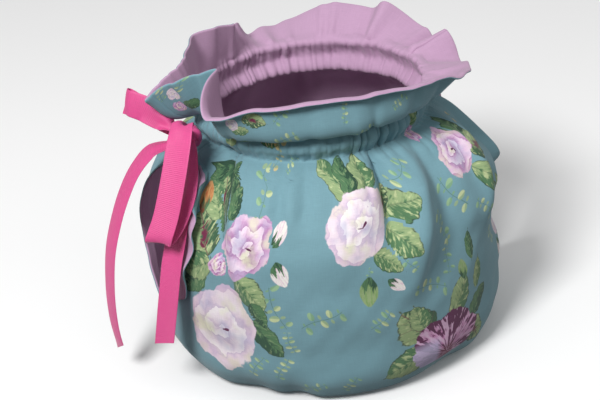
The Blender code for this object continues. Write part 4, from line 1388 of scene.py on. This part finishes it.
def knot_wrap(name):
    """A ring of ribbon round an axis that runs from loop to loop."""
    layers = []
    for off in (0.0, -KNOT_LAYER):
        round_, along = np.meshgrid(turns, widths, indexing="ij")
        full = 1.0 - 0.2 * along**2 - 0.7 * along**8 + 0.05 * np.sin(along * 9 + 2.2 * np.sin(round_))
        x = KNOT_CENTRE[0] + (KNOT_HALF[0] + off) * full * np.cos(round_)
        z = KNOT_CENTRE[2] + (KNOT_HALF[2] + off) * full * np.sin(round_)
        y = KNOT_CENTRE[1] + KNOT_HALF[1] * along * (1.0 + 0.06 * np.sin(round_ * 2 + 1))
        layers.append(np.stack([x, y, z], axis=-1))
    outer, inner = layers
    rows, columns = outer.shape[:2]
    index = np.arange(rows * columns).reshape(rows, columns)
    after = np.roll(index, -1, axis=0)
    quads = np.stack([index[:, :-1], after[:, :-1], after[:, 1:], index[:, 1:]], axis=-1).reshape(-1, 4)
    ends = []
    for k, way in ((0, 1), (-1, -1)):
        here, there = index[:, k], after[:, k]
        ends.append(np.stack([there, here, here + index.size, there + index.size], axis=-1)[:, ::way])
    quads = np.concatenate([quads, quads[:, ::-1] + index.size] + ends)
    made = cloth_object(name, np.concatenate([outer.reshape(-1, 3), inner.reshape(-1, 3)]), quads)
    remember_flat(made, (turns * 5.0)[:, None] + 0 * widths, widths * 7.0 + 0 * turns[:, None])
    print(name, "has", len(quads), "faces")
    return made


knot = knot_wrap("knot")

# %% [markdown]
# A drawstring channel is two rows of stitches round the neck. They are laid by Geometry Nodes: the row of
# the cloth's grid that lies on the seam becomes a curve, the curve is divided evenly, and a small rounded
# stitch is set on each point, turned along the seam.

# %% Rows of stitches
STITCH_PITCH, STITCH_LENGTH, STITCH_THREAD = 2.9, 2.2, 0.42
thread, thread_tree, thread_shader = new_material("sewing thread", Roughness=0.6, Sheen_Weight=0.2)
uneven = thread_tree.nodes.new("ShaderNodeTexNoise")
uneven.inputs["Scale"].default_value = 900.0
thread_dye = painted(Number(uneven.outputs["Fac"]), srgb(84, 122, 134), srgb(112, 152, 164))
thread_tree.links.new(thread_dye, thread_shader.inputs["Base Color"])
print("the thread is", STITCH_THREAD, "mm thick")

# %% [markdown]
# The tree has three named inputs: the pitch, and the two sizes of a stitch. It ends in Realize Instances
# and Set Material, because only real faces with their material are exported.

# %% The tree that lays stitches
def stitch_tree(coat):
    """The node tree, and the identifiers of its three named sizes."""
    tree = bpy.data.node_groups.new("row of stitches", "GeometryNodeTree")
    tree.interface.new_socket("Geometry", in_out="INPUT", socket_type="NodeSocketGeometry")
    sizes = [
        tree.interface.new_socket(name, in_out="INPUT", socket_type="NodeSocketFloat").identifier
        for name in ("Pitch", "Stitch length", "Thread")
    ]
    tree.interface.new_socket("Geometry", in_out="OUTPUT", socket_type="NodeSocketGeometry")
    add, join = tree.nodes.new, tree.links.new
    inside, outside = add("NodeGroupInput"), add("NodeGroupOutput")
    path, even = add("GeometryNodeMeshToCurve"), add("GeometryNodeResampleCurve")
    even.mode = "LENGTH"
    tangent, aim = add("GeometryNodeInputTangent"), add("FunctionNodeAlignRotationToVector")
    bead, size = add("GeometryNodeMeshUVSphere"), add("ShaderNodeCombineXYZ")
    shaped = add("GeometryNodeTransform")
    bead.inputs["Segments"].default_value, bead.inputs["Rings"].default_value = 8, 6
    bead.inputs["Radius"].default_value = 0.5
    place, smooth = add("GeometryNodeInstanceOnPoints"), add("GeometryNodeSetShadeSmooth")
    real, coated = add("GeometryNodeRealizeInstances"), add("GeometryNodeSetMaterial")
    coated.inputs["Material"].default_value = coat
    join(inside.outputs[0], path.inputs[0])
    join(path.outputs[0], even.inputs["Curve"])
    join(inside.outputs["Pitch"], even.inputs["Length"])
    join(tangent.outputs[0], aim.inputs["Vector"])
    for axis, name in (("X", "Thread"), ("Y", "Thread"), ("Z", "Stitch length")):
        join(inside.outputs[name], size.inputs[axis])
    join(bead.outputs[0], shaped.inputs["Geometry"])
    join(size.outputs[0], shaped.inputs["Scale"])
    join(even.outputs[0], place.inputs["Points"])
    join(shaped.outputs[0], place.inputs["Instance"])
    join(aim.outputs[0], place.inputs["Rotation"])
    for here, after in ((place, real), (real, smooth), (smooth, coated), (coated, outside)):
        join(here.outputs[0], after.inputs[0])
    return tree, sizes


print("sizes of a stitch can be set on the modifier")

# %% [markdown]
# The two rows run where the channel is sewn. The tree's result is turned into a plain mesh, and the object
# that carried the path is removed.

# %% The rows themselves
def seam_line(side, grid, height):
    """Points on the printed face along one height, in millimetres from the pot's axis."""
    row = len(HEM_ROWS) + int(np.argmin(np.abs(WALL_ROWS - height)))
    normal = surface_normals(grid[0], side)[row]
    return (grid[0][row] + normal * (CLOTH_FAR + 0.08))[3:-3]


def sewn(name, lines, tree, sizes):
    """An object of stitches along each of the lines."""
    mesh = bpy.data.meshes.new(name + "_path")
    edges, start = [], 0
    for line in lines:
        edges += [(n, n + 1) for n in range(start, start + len(line) - 1)]
        start += len(line)
    mesh.from_pydata(from_axis(np.concatenate(lines)), edges, [])
    holder = in_scene(name + "_path", mesh)
    modifier = holder.modifiers.new("stitches", "NODES")
    modifier.node_group = tree
    for identifier, size in zip(sizes, (STITCH_PITCH, STITCH_LENGTH, STITCH_THREAD)):
        modifier[identifier] = size * MM
    holder.update_tag()
    sewn_mesh = bpy.data.meshes.new_from_object(holder.evaluated_get(bpy.context.evaluated_depsgraph_get()))
    bpy.data.objects.remove(holder)
    print(name, "has", len(sewn_mesh.polygons), "faces")
    return in_scene(name, sewn_mesh)


row_tree, row_sizes = stitch_tree(thread)
front_seams, back_seams = (
    [seam_line(side, grid, height) for height in (CHANNEL_FOOT, CHANNEL_TOP)]
    for side, grid in ((FRONT, fronts), (BACK, backs))
)
front_stitches = sewn("front_stitches", front_seams, row_tree, row_sizes)
back_stitches = sewn("back_stitches", back_seams, row_tree, row_sizes)

# %% [markdown]
# Each piece takes the place of its plain solid. The flat sizes are those of the cut cloth: a panel of 333
# by 240 mm before it is gathered, and the ribbon's width by its length.

# %% Pieces, their materials and what they replace
RIBBON_FLAT = RIBBON_WIDTH * MM
for piece, node, slot, coat, flat, held in (
    (front_print, "front_panel", "printed_cotton", floral, (0.333, 0.24), "gathered"),
    (back_print, "back_panel", "printed_cotton", floral, (0.333, 0.24), "gathered"),
    (front_lining, "front_lining", "plain_cotton", lilac, (0.333, 0.24), "gathered"),
    (back_lining, "back_lining", "plain_cotton", lilac, (0.333, 0.24), "gathered"),
    (loop_front, "bow_loop_front", "grosgrain", ribbon_pink, (RIBBON_FLAT, loop_front_length * MM), "folded"),
    (loop_back, "bow_loop_back", "grosgrain", ribbon_pink, (RIBBON_FLAT, loop_back_length * MM), "folded"),
    (tail_front, "ribbon_tail_front", "grosgrain", ribbon_pink, (RIBBON_FLAT, tail_front_length * MM), "hung"),
    (tail_back, "ribbon_tail_back", "grosgrain", ribbon_pink, (RIBBON_FLAT, tail_back_length * MM), "hung"),
    (knot, "ribbon_knot", "grosgrain", ribbon_pink, None, None),
):
    if not piece.data.materials:
        piece.data.materials.append(coat)
    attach(piece, "root")
    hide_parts(node)
    print(piece.name, "takes the place of", node)
for piece in (front_stitches, back_stitches):
    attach(piece, "root")

# %% [markdown]
# Every piece of the cosy is made.

# %% The end
print("the cosy is made")
